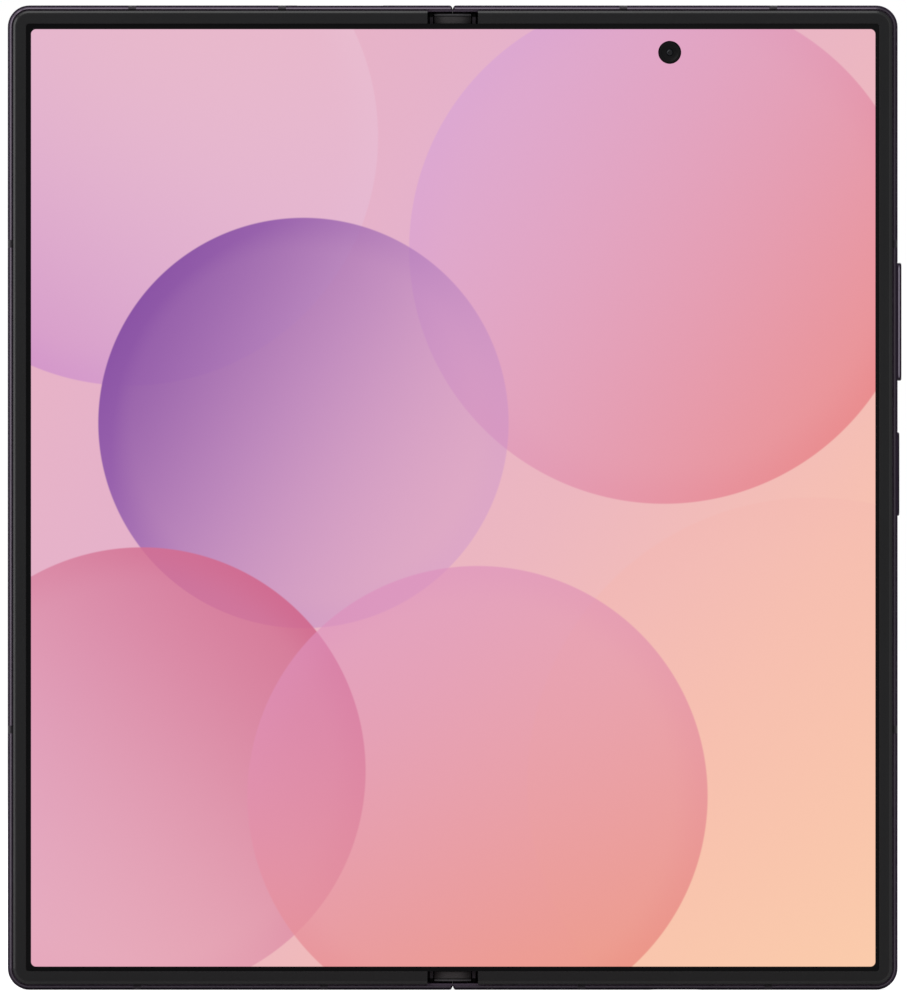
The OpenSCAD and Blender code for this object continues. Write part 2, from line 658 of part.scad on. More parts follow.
// Tongue under a board's corner, with a socket for each hinge flex cable.
module cable_tongue(corner_u, corner_v) {
    box([cable_plug_u[0] - 0.5, corner_u + 2], [-cable_v - cable_w / 2, max(corner_v + 2, cable_v + cable_w / 2)],
        [board_w - board_t, board_w]);
    for (v = [-cable_v, cable_v])
        box(cable_plug_u, [v - cable_w / 2 + 1, v + cable_w / 2 - 1], [board_w, cable_w0]);
}
module board_shields() upright() color("#8d8f92") {
    pad = 3.5;
    box([board_u[0] + 4.5, board_u[0] + 19], [board_v[0] + pad, board_v[1] - pad], [board_w - can_t, board_w]);
    box([board_u[0] + 20, board_u[1] - pad], [board_v[0] + pad, board_v[1] - pad], [board_w - can_t, board_w]);
}
module vapor_chamber() upright() color("#a8684a")
    box([board_u[0] + 4.5, board_u[1] - 4], [board_v[0] + 4.5, board_v[1] - 4.5], [board_w + board_t, web_w]);
// Rounded outline that fills the given spans of u and v.
function filled(us, vs, r, n) = rounded(us[1] - us[0], vs[1] - vs[0], r, [us[0] + us[1], vs[0] + vs[1]] / 2, n);
module right_battery() upright() color("#26262a")
    slab(battery_w0, battery_w0 + battery_t) polygon(filled(battery_us, battery_vs, 1.2, 3));
module charging_coil() upright() color("#8a5a3c") {
    difference() {
        rod_w(battery_u, battery_v, coil_r, glass_t, glass_t + coil_t);
        rod_w(battery_u, battery_v, coil_r * 0.45, 0, 1);
    }
    slab(glass_t + coil_t, battery_w0) polygon(rounded(2 * coil_r + 2, 2 * coil_r + 2, 3, [battery_u, battery_v], 4));
}
module usb_port_shell() upright() color("#9a9a9e") {
    v0 = -half_h + 0.7;
    difference() {
        along_v(v0, v0 + port_depth + 0.4) port_outline(port_wall);
        along_v(v0 - 1, v0 + port_depth) port_outline(0);
    }
}
module usb_port_tongue() upright() color("#1a1a1c") {
    v0 = -half_h + 1.6;
    v1 = -half_h + 0.7 + port_depth;
    box([port_u - tongue_w / 2, port_u + tongue_w / 2], [v0, v1],
        [port_mid - tongue_t / 2, port_mid + tongue_t / 2]);
    box([port_u - tongue_root_w / 2, port_u + tongue_root_w / 2], [v1 - tongue_root_len, v1],
        [port_mid - tongue_root_t / 2, port_mid + tongue_root_t / 2]);
}
module usb_board() upright() color("#1f4d3a") {
    v0 = -half_h + 0.7 + port_depth + 0.5;
    difference() {
        union() {
            box(port_board_u, [v0, v0 + port_board_h], [board_w, board_w + board_t]);
            box([port_points[0].x + port_block_in, port_points[1].x - port_block_in],
                [v0 + port_block_v[0], v0 + port_block_v[1]], [board_w - port_block_t, board_w]);
        }
        standoff_holes(port_points);
    }
}
module loudspeaker() upright() color("#2a292e") slab(0.8, web_w - under_web)
    polygon(rounded(speaker_size.x, speaker_size.y, 1, [speaker_u, low_v + 0.1 + speaker_size.y / 2], 3));
module vibration_motor() upright() color("#8b8c90")
    slab(0.8, web_w - under_web) polygon(filled(motor_us, [low_v + 0.3, low_v + 0.3 + motor_h], 0.8, 3));
module key_flex() upright() color("#b07a3a") {
    back = half_w - wall_t - key_travel - key_flange - 0.55;
    box([back - 0.3, back], [side_key_v - 8, rocker_v + 10], [1, 2.9]);
    for (v = [side_key_v, rocker_v - rocker_len / 3, rocker_v + rocker_len / 3])
        rod_u(v, key_mid, 0.85, back, back + 0.2);
}
module magnets() for (s = [[half_h - magnet_top - magnet_top_h, half_h - magnet_top],
    [magnet_foot - half_h, magnet_foot + magnet_foot_h - half_h]])
    box([half_w - wall_t - 1.15, half_w - wall_t - 0.05], s, [1.3, web_w - under_web]);
module right_magnets() upright() color("#77787c") magnets();
module left_magnets() upright() on_left() color("#77787c") magnets();
// A pan-head screw driven from the back, with a cross recess.
module screw(u, v, head_w, end_w) difference() {
    union() {
        rod_w(u, v, screw_head_r, head_w - screw_head_t, head_w);
        rod_w(u, v, screw_r, head_w - screw_head_t, end_w);
    }
    for (a = [0, 90]) translate([u, v, head_w - screw_head_t]) rotate([0, 0, a]) cube([0.9, 0.18, 0.3], center = true);
}
module arm_screws(bay) in_modules() for (t = [0.25, 0.75])
    screw(arm_screw_u, bay + t * arm_bay, arm_w, web_top - 0.1);
module right_screws() upright() color("#8c8a8e") {
    arm_screws(bay_right);
    for (p = concat(main_points, port_points)) screw(p[0], p[1], board_w, web_top - 0.1);
}
module left_screws() upright() on_left() color("#8c8a8e") {
    arm_screws(bay_left);
    for (p = left_points) screw(p[0], p[1], board_w, web_top - 0.1);
}

// ---- Left half's insides ----
module cover_camera() upright() on_left() color("#121118") difference() {
    union() {
        rod_w(half_mid, punch_v, punch_d / 2, glass_t + 0.05, 2);
        slab(1.5, web_w - under_web)
            polygon(rounded(front_camera_side, front_camera_side, 0.6, [half_mid, punch_v], 2));
    }
    translate([half_mid, punch_v, glass_t]) cylinder(r1 = 1.2, r2 = 0.5, h = 0.3);
}
module left_battery() upright() on_left() color("#26262a")
    slab(web_w - under_web - left_battery_t, web_w - under_web)
        polygon(filled(left_battery_us, left_battery_vs, 1.2, 3));
module left_board() upright() on_left() color("#1f4d3a") difference() {
    union() {
        box(left_board_u, left_board_v, [board_w, board_w + board_t]);
        box([left_board_u[0] + 12, left_board_u[1] - 12], [left_board_v[0] + 3, left_board_v[1] - 3],
            [board_w - can_t, board_w]);
        cable_tongue(left_board_u[0], left_board_v[0]);
    }
    standoff_holes(left_points);
}
module earpiece_speaker() upright() on_left() color("#2a292e")
    slab(1.35, web_w - under_web) polygon(rounded(13, 8, 0.8, [half_mid + 11, half_h - wall_t - 4.1], 3));
module sim_reader() upright() on_left() color("#9b9ca0") difference() {
    box([tray_u - tray_len / 2 - 0.5, tray_u + tray_len / 2 + 0.5], reader_v,
        [key_mid - tray_t / 2 - 0.35, key_mid + tray_t / 2 + 0.35]);
    box([tray_u - tray_body_w / 2 - play, tray_u + tray_body_w / 2 + play], [reader_v[0] + 0.6, half_h],
        [key_mid - tray_t / 2 - play, key_mid + tray_t / 2 + play]);
}
module sim_tray() upright() on_left() color("#4c474d") difference() {
    union() {
        box([tray_u - tray_len / 2, tray_u + tray_len / 2], [tray_face_v, tray_face_v + tray_face_t],
            [key_mid - key_w / 2, key_mid + key_w / 2]);
        box([tray_u - tray_body_w / 2, tray_u + tray_body_w / 2], [half_h - wall_t - tray_depth, half_h - 1],
            [key_mid - tray_t / 2, key_mid + tray_t / 2]);
    }
    slab(key_mid - tray_t / 2 + 0.2, body_t) polygon(rounded(sim_size.x, sim_size.y, 0.6,
        [tray_u, half_h - wall_t - tray_depth + sim_size.y / 2 + 1.3], 2));
    rod_v(eject_u, key_mid, eject_d / 2, tray_face_v - 0.01, half_h + 1);
    // shoulder that the ejector pin pushes on
    box([tray_u - tray_len, eject_u + eject_d / 2 + 0.35], [tray_face_v - 3, tray_face_v], [0, body_t]);
}

// ---- Keys ----
module key(v, len, out) {
    face = half_w + out;
    wall_in = half_w - wall_t;
    round = key_w / 2 - 0.02;
    // cap and stem through the wall
    intersection() {
        translate([wall_in - key_travel - key_flange / 2, 0, 0]) rotate([90, 0, 90])
            linear_extrude(face - wall_in + key_travel + key_flange / 2)
                polygon(rounded(len, key_w, round, [v, key_mid], arc_n));
        along_v(v - len, v + len) polygon([[wall_in - 3, -1], [face - 0.25, -1], [face - 0.25, key_mid - key_w / 2 + 0.1],
            [face - 0.06, key_mid - key_w / 4], [face, key_mid], [face - 0.06, key_mid + key_w / 4],
            [face - 0.25, key_mid + key_w / 2 - 0.1], [face - 0.25, body_t + 1], [wall_in - 3, body_t + 1]]);
    }
    // flange that keeps the key in
    box([wall_in - key_travel - key_flange, wall_in - key_travel], [v - len / 2 - key_rise, v + len / 2 + key_rise],
        [key_mid - key_w / 2 + 0.1, key_mid + key_w / 2 - 0.1]);
}
module volume_rocker() upright() color("#4c474d") key(rocker_v, rocker_len, rocker_out);
module side_key() upright() color("#4c474d") key(side_key_v, side_key_len, side_key_out);

// ---- Hinge spine ----
module wall_notch(s0, s1, w, side) in_modules()
    box(side > 0 ? [axis_u + 0.6, 9] : [-9, -axis_u - 0.6], [s0 + 0.1, s1 - 0.1], [w, body_t]);
module spine_cover() upright() color("#4a464c") difference() {
    union() {
        difference() {
            along_v(-spine_half, spine_half) polygon(spine_outline(spine_r, spine_top));
            along_v(-spine_half + cap_len, spine_half - cap_len) polygon(spine_outline(cavity_r, body_t - axis_drop - 0.001));
            both_ends() along_v(spine_half - cap_len - 0.1, spine_half + 1) polygon(spine_outline(cavity_r, axis_w - 0.001));
        }
        for (v = post_v) rod_w(0, v, centre_half - 0.1, floor_w - 0.1, wing_w);
    }
    for (side = [-1, 1]) {
        wall_notch(bay_gear, bay_c, notch_w, side);
        both_ends() box(side > 0 ? [axis_u + 0.6, 9] : [-9, -axis_u - 0.6],
            [cable_v - cable_w / 2 - 0.3, cable_v + cable_w / 2 + 0.3], [cable_w0 - 0.15, body_t]);
    }
    wall_notch(bay_left, bay_d, notch_w, -1);
    wall_notch(bay_right, bay_e, notch_w, 1);
    for (v = post_v) rod_w(0, v, screw_r + screw_play, floor_w + 0.2, body_t);
    bracket_screw_holes(axis_w - spine_r + 0.15, body_t);
}
module bracket_screw_holes(w0, w1) in_modules() for (s = [bay_a, bay_e])
    rod_w(0, s + block_len / 2, 0.3 + screw_play, w0, w1);
module hinge_end_caps() upright() color("#34313a") both_ends()
    along_v(spine_half - cap_len, spine_half) difference() {
        polygon(concat(arc([-axis_u, axis_w], cavity_r - 0.02, 215, 270, 2 * arc_n),
            arc([axis_u, axis_w], cavity_r - 0.02, 270, 325, 2 * arc_n),
            arc([0, axis_w + 0.35 - 7], 7, 65, 115, 2 * arc_n)));
        translate([cap_half, 0]) square([5, 9]);
        translate([-cap_half - 5, 0]) square([5, 9]);
    }
module cavity_block(s0, s1) intersection() {
    along_v(s0, s1) polygon(spine_outline(cavity_r - 0.02, block_top));
    box([-cavity_r - 2, cavity_r + 2], [s0 - 1, s1 + 1], [0, block_top]);
}
module core(u, s0, s1) intersection() {
    rod_v(u, axis_w, core_r, s0, s1);
    box([-9, 9], [s0 - 1, s1 + 1], [0, block_top]);
}
module hinge_brackets() upright() color("#7f7d83") difference() {
    in_modules() {
        for (s = [bay_a, bay_b, bay_c, bay_d, bay_e]) cavity_block(s, s + block_len);
        along_v(bay_a, bay_c + block_len) polygon([[-1.3, floor_w + 0.02], [1.3, floor_w + 0.02],
            [1.3, floor_w + 0.17], [-1.3, floor_w + 0.17]]);
        core(-axis_u, bay_c, bay_d + block_len);
        core(axis_u, bay_d, bay_end);
    }
    in_modules() for (i = gear_places) rod_v(i, gear_w, shaft_r + shaft_play / 2, bay_a + 0.4, bay_c + 0.9);
    bracket_screw_holes(0, body_t);
    in_modules() for (s = [bay_a, bay_e]) rod_w(0, s + block_len / 2, 0.52, block_top - 0.3, body_t);
}
module gear_shafts() upright() color("#b5b5b8") in_modules() {
    for (i = [0, 3]) rod_v(gear_places[i], gear_w, shaft_r, bay_a + 0.5, bay_c + 0.8);
    for (i = [1, 2]) rod_v(gear_places[i], gear_w, shaft_r, bay_b + 0.3, bay_c + 0.8);
}
// Coil of round wire along v, with its ends at s0 and s1.
module coil(u, s0, s1, turns) {
    steps = 12;
    sides = 4;
    n = turns * steps;
    points = [for (i = [0:n], j = [0:sides - 1]) let (a = 360 * i / steps, b = 360 * j / sides,
        r = spring_r + spring_wire * cos(b))
        [u + r * cos(a), s0 + spring_wire + (s1 - s0 - 2 * spring_wire) * i / n + spring_wire * sin(b),
            gear_w + r * sin(a)]];
    sides_of = [for (i = [0:n - 1], j = [0:sides - 1]) let (k = (j + 1) % sides)
        each [[i * sides + k, i * sides + j, (i + 1) * sides + k], [(i + 1) * sides + k, i * sides + j,
            (i + 1) * sides + j]]];
    ends = [for (j = [1:sides - 2]) each [[0, j, j + 1], [n * sides, n * sides + j + 1, n * sides + j]]];
    polyhedron(points, concat(sides_of, ends));
}
module detent_springs() upright() color("#a9a9ae") in_modules()
    for (i = [0, 3]) coil(gear_places[i], bay_spring + 0.03, bay_b - 0.03, spring_turns);
module centre_plate() upright() color("#6c6a70") difference() {
    box([-centre_half, centre_half], [-plate_half, plate_half], [wing_w, wing_top]);
    in_modules() for (s = [bay_a, bay_e]) rod_w(0, s + block_len / 2, 0.6, 0, body_t);
    for (v = post_v) rod_w(0, v, screw_r + screw_play, 0, body_t);
    for (v = post_v) rod_w(0, v, 0.72, wing_top - 0.16, body_t);
}
module hinge_screws() upright() color("#8c8a8e") {
    in_modules() for (s = [bay_a, bay_e]) {
        rod_w(0, s + block_len / 2, 0.3, axis_w - spine_r + 0.2, block_top - 0.1);
        rod_w(0, s + block_len / 2, 0.5, block_top - 0.3, block_top - 0.05);
    }
    for (v = post_v) {
        rod_w(0, v, screw_r, floor_w + 0.3, wing_top - 0.1);
        rod_w(0, v, 0.7, wing_top - 0.16, wing_top - 0.02);
    }
}
module hinge_flex_cables() upright() color("#a5622c") for (v = [-cable_v, cable_v])
    along_v(v - cable_w / 2, v + cable_w / 2) polygon(concat(
        [for (p = cable_path) p], [for (i = [len(cable_path) - 1:-1:0]) [-cable_path[i].x, cable_path[i].y]],
        [for (p = cable_path) [-p.x, p.y + cable_t]],
        [for (i = [len(cable_path) - 1:-1:0]) [cable_path[i].x, cable_path[i].y + cable_t]]));

// ---- Hinge movers ----
// Rotator arm of the right half: a ring sector round the fold axis and a plate to the mid plate.
module rotator_arms(bay) in_modules() difference() {
    union() {
        intersection() {
            along_v(bay + 0.15, bay + arm_bay - 0.15) polygon(concat(
                arc([axis_u, axis_w], ring_out, ring_low, ring_high, 2 * arc_n),
                arc([axis_u, axis_w], ring_in, ring_high, ring_low, 2 * arc_n)));
            box([-9, 9], [bay, bay + arm_bay], [0, arm_top]);
        }
        box([axis_u + (ring_in + ring_out) / 2, arm_reach], [bay + 0.15, bay + arm_bay - 0.15], [arm_w, arm_top]);
    }
    for (t = [0.25, 0.75]) rod_w(arm_screw_u, bay + t * arm_bay, screw_r + screw_play, 0, body_t);
}
module right_rotator_arms() upright() color("#8f8d93") rotator_arms(bay_right);
module left_rotator_arms() upright() on_left() color("#8f8d93") rotator_arms(bay_left);
// Outline of a timing gear with tapered teeth.
function gear_points(turn) = [for (i = [0:teeth - 1]) let (a = turn + tooth_step * i)
    each [for (k = [[gear_root, -0.34], [gear_r, -0.2], [gear_tip, -0.07], [gear_tip, 0.07], [gear_r, 0.2],
        [gear_root, 0.34]]) k[0] * [cos(a + k[1] * tooth_step), sin(a + k[1] * tooth_step)]]];
module gear(u, turn) in_modules() difference() {
    along_v(bay_gear + gear_gap, bay_c - gear_gap) translate([u, gear_w]) polygon(gear_points(turn));
    rod_v(u, gear_w, shaft_r + shaft_play, bay_gear - 1, bay_c + 1);
}
// Timing arm of the right half: the outer gear with a thin plate that slides under the mid plate.
module sync_arms(turn) difference() {
    union() {
        gear(3 * gear_r, turn);
        in_modules() box([3 * gear_r + shaft_r + 0.1, sync_reach], [bay_gear + gear_gap, bay_c - gear_gap],
            [sync_w, sync_w + sync_t]);
    }
    in_modules() rod_v(3 * gear_r, gear_w, shaft_r + shaft_play, bay_gear - 1, bay_c + 1);
}
module right_sync_arms() upright() color("#a3a1a6") sync_arms(0);
module left_sync_arms() upright() on_left() color("#a3a1a6") sync_arms(tooth_step / 2);
module right_idler_gears() upright() color("#a3a1a6") gear(gear_r, tooth_step / 2);
module left_idler_gears() upright() on_left() color("#a3a1a6") gear(gear_r, 0);
module wing_plate() difference() {
    union() {
        box([wing_inner, wing_pivot], [-plate_half, plate_half], [wing_w, wing_top]);
        rod_v(wing_pivot, wing_mid, wing_t / 2, -plate_half, plate_half);
    }
    in_modules() box([0, wing_pivot - 0.9], [bay_a - 0.3, bay_end + 0.3], [0, body_t]);
    both_ends() box([0, wing_pivot - 0.9], [cable_v - cable_w / 2 - 0.5, cable_v + cable_w / 2 + 0.5], [0, body_t]);
}
module right_wing_plate() upright() color("#6c6a70") wing_plate();
module left_wing_plate() upright() on_left() color("#6c6a70") wing_plate();

right_frame();
right_antenna_breaks();
right_bezel();
right_back_glass();
camera_island();
camera_lens_rings();
camera_lens_covers();
wide_camera_module();
ultrawide_camera_module();
tele_camera_module();
flash_window();
selfie_camera();
main_board();
board_shields();
vapor_chamber();
right_battery();
charging_coil();
usb_port_shell();
usb_port_tongue();
usb_board();
loudspeaker();
vibration_motor();
key_flex();
right_magnets();
right_screws();
right_rotator_arms();
display_right();
left_frame();
left_antenna_breaks();
left_bezel();
cover_glass();
cover_display_panel();
cover_camera();
left_battery();
left_board();
earpiece_speaker();
sim_reader();
left_magnets();
left_screws();
left_rotator_arms();
display_left();
spine_cover();
hinge_end_caps();
hinge_brackets();
gear_shafts();
detent_springs();
centre_plate();
hinge_screws();
hinge_flex_cables();
display_fold_section();
left_sync_arms();
right_sync_arms();
left_idler_gears();
right_idler_gears();
left_wing_plate();
right_wing_plate();
volume_rocker();
side_key();
sim_tray();
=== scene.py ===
"""Looks of the opened foldable phone: its screen picture, finishes, lenses, grilles and fine inner detail.

Sizes are millimetres in three directions: u to the right, v up along the fold and w out of the screen. They
are counted from the middle of the back face on the fold line, and spot() turns them into the frame's metres.
"""

from __future__ import annotations

import functools
import logging
import math
import sys
from abc import ABC, abstractmethod
from collections.abc import Callable, Sequence
from dataclasses import dataclass, field
from enum import Enum

import bmesh
import bpy
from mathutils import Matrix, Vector
from mathutils.geometry import delaunay_2d_cdt


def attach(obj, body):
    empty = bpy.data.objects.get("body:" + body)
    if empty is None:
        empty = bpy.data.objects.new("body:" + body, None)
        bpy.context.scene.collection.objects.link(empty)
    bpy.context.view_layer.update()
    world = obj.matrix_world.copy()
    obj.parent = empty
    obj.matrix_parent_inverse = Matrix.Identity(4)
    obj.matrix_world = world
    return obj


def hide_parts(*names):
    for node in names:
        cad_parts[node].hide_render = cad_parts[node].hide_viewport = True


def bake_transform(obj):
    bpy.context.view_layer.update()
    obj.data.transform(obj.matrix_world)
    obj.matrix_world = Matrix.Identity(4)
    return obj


LOG = logging.getLogger("phone")
Socket = bpy.types.NodeSocket
Value = float | Sequence[float] | bpy.types.ID | Socket
Inputs = dict[str | int, Value]
Point = tuple[float, float]
Outline = Callable[[float], list[Point]]
Levels = Sequence[tuple[float, float]]
Rim = tuple[list[bmesh.types.BMVert], list[Point]]
MM = 0.001
# Edges that turn by less than this are shaded smooth.
SMOOTH_LIMIT = math.radians(35)
# An outline's points nearer than this, in millimetres, are one point.
NEAR = 1e-6
# Choice of the triangulation that keeps the triangles inside the outermost outline.
KEEP_INSIDE = 1
# Vertices nearer than this, in metres, are merged.
WELD = 1e-7
# Half the width and height of the opened body, and the radius of its corners.
BODY = (71.6, 79.2)
BODY_CORNER = 3.5
# Middles of the camera in the screen's hole and of the rear cameras' island.
SELFIE = (34.9, 71.6)
ISLAND = (58.0, 44.2)
# Name of the vector that a bending piece's mesh stores: each point's place at rest.
REST_PLACE = "rest_place"
# Turn that lays a shape made flat on the floor against the screen's plane.
LAID_FLAT = (math.pi / 2, 0.0, 0.0)
# Spans of a noise's values: what a roughness follows, a metal's bright grains, and the smears on glass.
NOISE_SPAN = (0.3, 0.7)
GRAIN_SPAN = (0.35, 0.65)
SMEAR_SPAN = (0.35, 0.7)
# Colour of a metal's bright grains, and the black of a gap that no light reaches.
BRIGHT_GRAIN = "#c9c4cc"
GAP_BLACK = "#050405"
# Colours of a lens's coating and of the ink printed on a lens cover.
LENS_COAT = "#2a2350"
LENS_INK = "#040405"


def spot(u: float, v: float, w: float) -> Vector:
    """Place in the frame of a point given across, along and out of the screen.

    Args:
        u: Millimetres to the right of the fold.
        v: Millimetres above the middle of the fold.
        w: Millimetres in front of the back face.

    Returns:
        The same point in metres.
    """
    return Vector((u, -w, v)) * MM


def grey(level: float) -> tuple[float, float, float, float]:
    """Colour that reflects that share of each colour of light."""
    return (level, level, level, 1.0)


def tint(code: str) -> tuple[float, float, float, float]:
    """Linear colour of a screen colour code.

    Args:
        code: Six hexadecimal digits after a hash sign.

    Returns:
        Red, green, blue and alpha.
    """
    parts = [int(code[i : i + 2], 16) / 255 for i in (1, 3, 5)]
    linear = [c / 12.92 if c <= 0.04045 else ((c + 0.055) / 1.055) ** 2.4 for c in parts]
    return (*linear, 1.0)


# ---- Shapes ----


def span(ends: Point) -> float:
    """Distance between two ends."""
    return ends[1] - ends[0]


def quarter_turn(steps: int) -> list[float]:
    """Angles from nothing to a quarter of a turn, in radians."""
    return [math.pi / 2 * i / steps for i in range(steps + 1)]


def rounded(centre: Point, width: float, height: float, radius: float, steps: int = 12) -> Outline:
    """Rounded rectangle that can be inset.

    Args:
        centre: Its middle, across and along.
        width: Size across.
        height: Size along.
        radius: Corner radius.
        steps: Segments in each corner.

    Returns:
        A function from an inset to the outline's points.
    """
    least_radius = 0.01

    def at(inset: float) -> list[Point]:
        """Points of the outline.

        Args:
            inset: How far it lies inside the rectangle.

        Returns:
            Its points, from the upper right corner on, anticlockwise.
        """
        r = max(radius - inset, least_radius)
        points = []
        for quarter, (su, sv) in enumerate([(1, 1), (-1, 1), (-1, -1), (1, -1)]):
            cu = centre[0] + su * (width / 2 - inset - r)
            cv = centre[1] + sv * (height / 2 - inset - r)
            for i in range(steps + 1):
                a = math.pi / 2 * (quarter + i / steps)
                points.append((cu + r * math.cos(a), cv + r * math.sin(a)))
        return points

    return at


def circle(centre: Point, radius: float, steps: int = 12) -> Outline:
    """Circle that can be inset, with that many segments in each quarter."""
    return rounded(centre, 2 * radius, 2 * radius, radius, steps)


def outer_part(points: Sequence[Point]) -> list[Point]:
    """Part of an outline that lies right of the fold.

    Args:
        points: The whole outline, which starts and ends right of the fold.

    Returns:
        Its points right of the fold, from the lowest up.
    """
    right = [(u, v) for u, v in points if u > 0]
    return [(u, v) for u, v in right if v <= 0] + [(u, v) for u, v in right if v > 0]


class Facing(Enum):
    """Direction that a plate's thickness runs in."""

    FRONT = "w"
    RIGHT = "u"

    def place(self, a: float, b: float, height: float) -> Vector:
        """Place of an outline's point at a height, the outline being u and v, or v and w."""
        return spot(a, b, height) if self is Facing.FRONT else spot(height, a, b)


def close_face(bm: bmesh.types.BMesh, rims: Sequence[Rim]) -> None:
    """Fills the face inside the first rim and outside the others.

    Args:
        bm: Mesh that holds the rims.
        rims: The rim of the face, then those of its holes.
    """
    verts, points, edges, owners = [], [], [], []
    for number, (ring, places) in enumerate(rims):
        first, n = len(verts), len(ring)
        verts += ring
        points += [Vector(place) for place in places]
        edges += [(first + i, first + (i + 1) % n) for i in range(n)]
        owners += [number] * n
    _, _, triangles, sources, *_ = delaunay_2d_cdt(points, edges, [], KEEP_INSIDE, NEAR)
    for triangle in triangles:
        ends = [sources[i][0] for i in triangle]
        touched = {owners[i] for i in ends}
        in_hole = len(touched) == 1 and 0 not in touched
        if not in_hole:
            bm.faces.new([verts[i] for i in ends])


def plate(outer: Outline, holes: Sequence[Outline], levels: Levels, hole_levels: Levels = (),
          facing: Facing = Facing.FRONT) -> bmesh.types.BMesh:
    """Closed plate with holes, whose edges follow the given levels.

    Args:
        outer: Outline of the plate.
        holes: Outlines of its holes.
        levels: Inset and height of each step of the outer edge, from one face to the other.
        hole_levels: The same for the holes, or nothing for the outer edge's own, turned round.
        facing: Direction of the thickness.

    Returns:
        The mesh, flat faces marked flat and edges marked smooth.
    """
    bm = bmesh.new()
    rims = []
    inner_levels = hole_levels or [(-inset, height) for inset, height in levels]
    for outline, steps in [(outer, levels), *((hole, inner_levels) for hole in holes)]:
        rings = []
        for inset, height in steps:
            points = outline(inset)
            rings.append(([bm.verts.new(facing.place(*point, height)) for point in points], points))
        rims.append((rings[0], rings[-1]))
        for (low, _), (high, _) in zip(rings, rings[1:]):
            for i, j in zip(range(len(low)), [*range(1, len(low)), 0]):
                bm.faces.new((low[i], low[j], high[j], high[i])).smooth = True
    for face_rims in zip(*rims):
        close_face(bm, face_rims)
    bmesh.ops.remove_doubles(bm, verts=bm.verts, dist=WELD)
    bmesh.ops.recalc_face_normals(bm, faces=bm.faces)
    return bm


def rolled(edge: float, face: float, inward: int) -> list[Point]:
    """Levels of an edge that is rolled by a quarter of a circle.

    Args:
        edge: Its radius.
        face: Height of the face that it leads to.
        inward: Sign of the direction from the face into the plate.

    Returns:
        Inset and height of each step, from the plate's side to its face.
    """
    return [(edge * (1 - math.cos(a)), face + inward * edge * (1 - math.sin(a))) for a in quarter_turn(6)]


def housing(centre: Point, low: float, high: float) -> bmesh.types.BMesh:
    """Square housing of a small camera, with bevelled edges.

    Args:
        centre: Its middle, across and along.
        low: Height of its back.
        high: Height of its front.

    Returns:
        The mesh.
    """
    side, corner, edge = 6.2, 0.6, 0.1
    levels = [(edge, low), (0, low + edge), (0, high - edge), (edge, high)]
    return plate(rounded(centre, side, side, corner, 6), [], levels)


def lathe(profile: Sequence[Point], centre: Point, steps: int = 72) -> bmesh.types.BMesh:
    """Turned solid about a line that runs out of the screen.

    Args:
        profile: Radius and height of each point of the section, which is closed.
        centre: Where the axis is, across and along.
        steps: Segments in a full turn.

    Returns:
        The mesh.
    """
    bm = bmesh.new()
    rings = []
    for r, w in profile:
        count = steps if r > NEAR else 1
        turn = [2 * math.pi * i / steps for i in range(count)]
        ring = [spot(centre[0] + r * math.cos(a), centre[1] + r * math.sin(a), w) for a in turn]
        rings.append([bm.verts.new(place) for place in ring])
    for a, b in zip(rings, rings[1:] + rings[:1]):
        if len(a) == len(b) == 1:
            continue
        for i in range(steps):
            j = (i + 1) % steps
            ends = [a[i % len(a)], a[j % len(a)], b[j % len(b)], b[i % len(b)]]
            bm.faces.new(list(dict.fromkeys(ends))).smooth = True
    bmesh.ops.recalc_face_normals(bm, faces=bm.faces)
    return bm


def dome(radius: float, foot: float, rise: float, depth: float, steps: int = 10) -> list[Point]:
    """Section of a lens: a crown over a short round foot.

    Args:
        radius: Radius of the lens.
        foot: Height of the crown's edge.
        rise: Height of the crown above its edge, below zero towards the back.
        depth: Height of the foot's underside from the crown's edge.
        steps: Segments in the crown.

    Returns:
        Radius and height of each point.
    """
    crown = [(radius * math.sin(a), foot + rise * math.cos(a)) for a in quarter_turn(steps)]
    return [*crown, (radius, foot + depth), (0.0, foot + depth)]


def merged(*meshes: bmesh.types.BMesh) -> bmesh.types.BMesh:
    """Puts several meshes in one.

    Args:
        meshes: The meshes, which are freed.

    Returns:
        The mesh that holds them all.
    """
    whole = bmesh.new()
    for bm in meshes:
        part = bpy.data.meshes.new("part")
        bm.to_mesh(part)
        bm.free()
        whole.from_mesh(part)
        bpy.data.meshes.remove(part)
    return whole


def piece(name: str, bm: bmesh.types.BMesh, material: bpy.types.Material) -> bpy.types.Object:
    """Scene object from a mesh, smooth except at its real edges.

    Args:
        name: The piece's name.
        bm: Its mesh, which is freed.
        material: Its finish.

    Returns:
        The object, at the origin.
    """
    for edge in bm.edges:
        round_edge = len(edge.link_faces) == 2 and all(face.smooth for face in edge.link_faces)
        edge.smooth = round_edge and edge.calc_face_angle(0) < SMOOTH_LIMIT
    mesh = bpy.data.meshes.new(name)
    bm.to_mesh(mesh)
    bm.free()
    mesh.materials.append(material)
    obj = bpy.data.objects.new(name, mesh)
    bpy.context.scene.collection.objects.link(obj)
    return obj


def keep_rest_place(obj: bpy.types.Object) -> None:
    """Stores each point's place at rest on the mesh, for a pattern that bends with the piece."""
    attribute = obj.data.attributes.new(REST_PLACE, "FLOAT_VECTOR", "POINT")
    attribute.data.foreach_set("vector", [c for vertex in obj.data.vertices for c in vertex.co])


# ---- Node trees ----


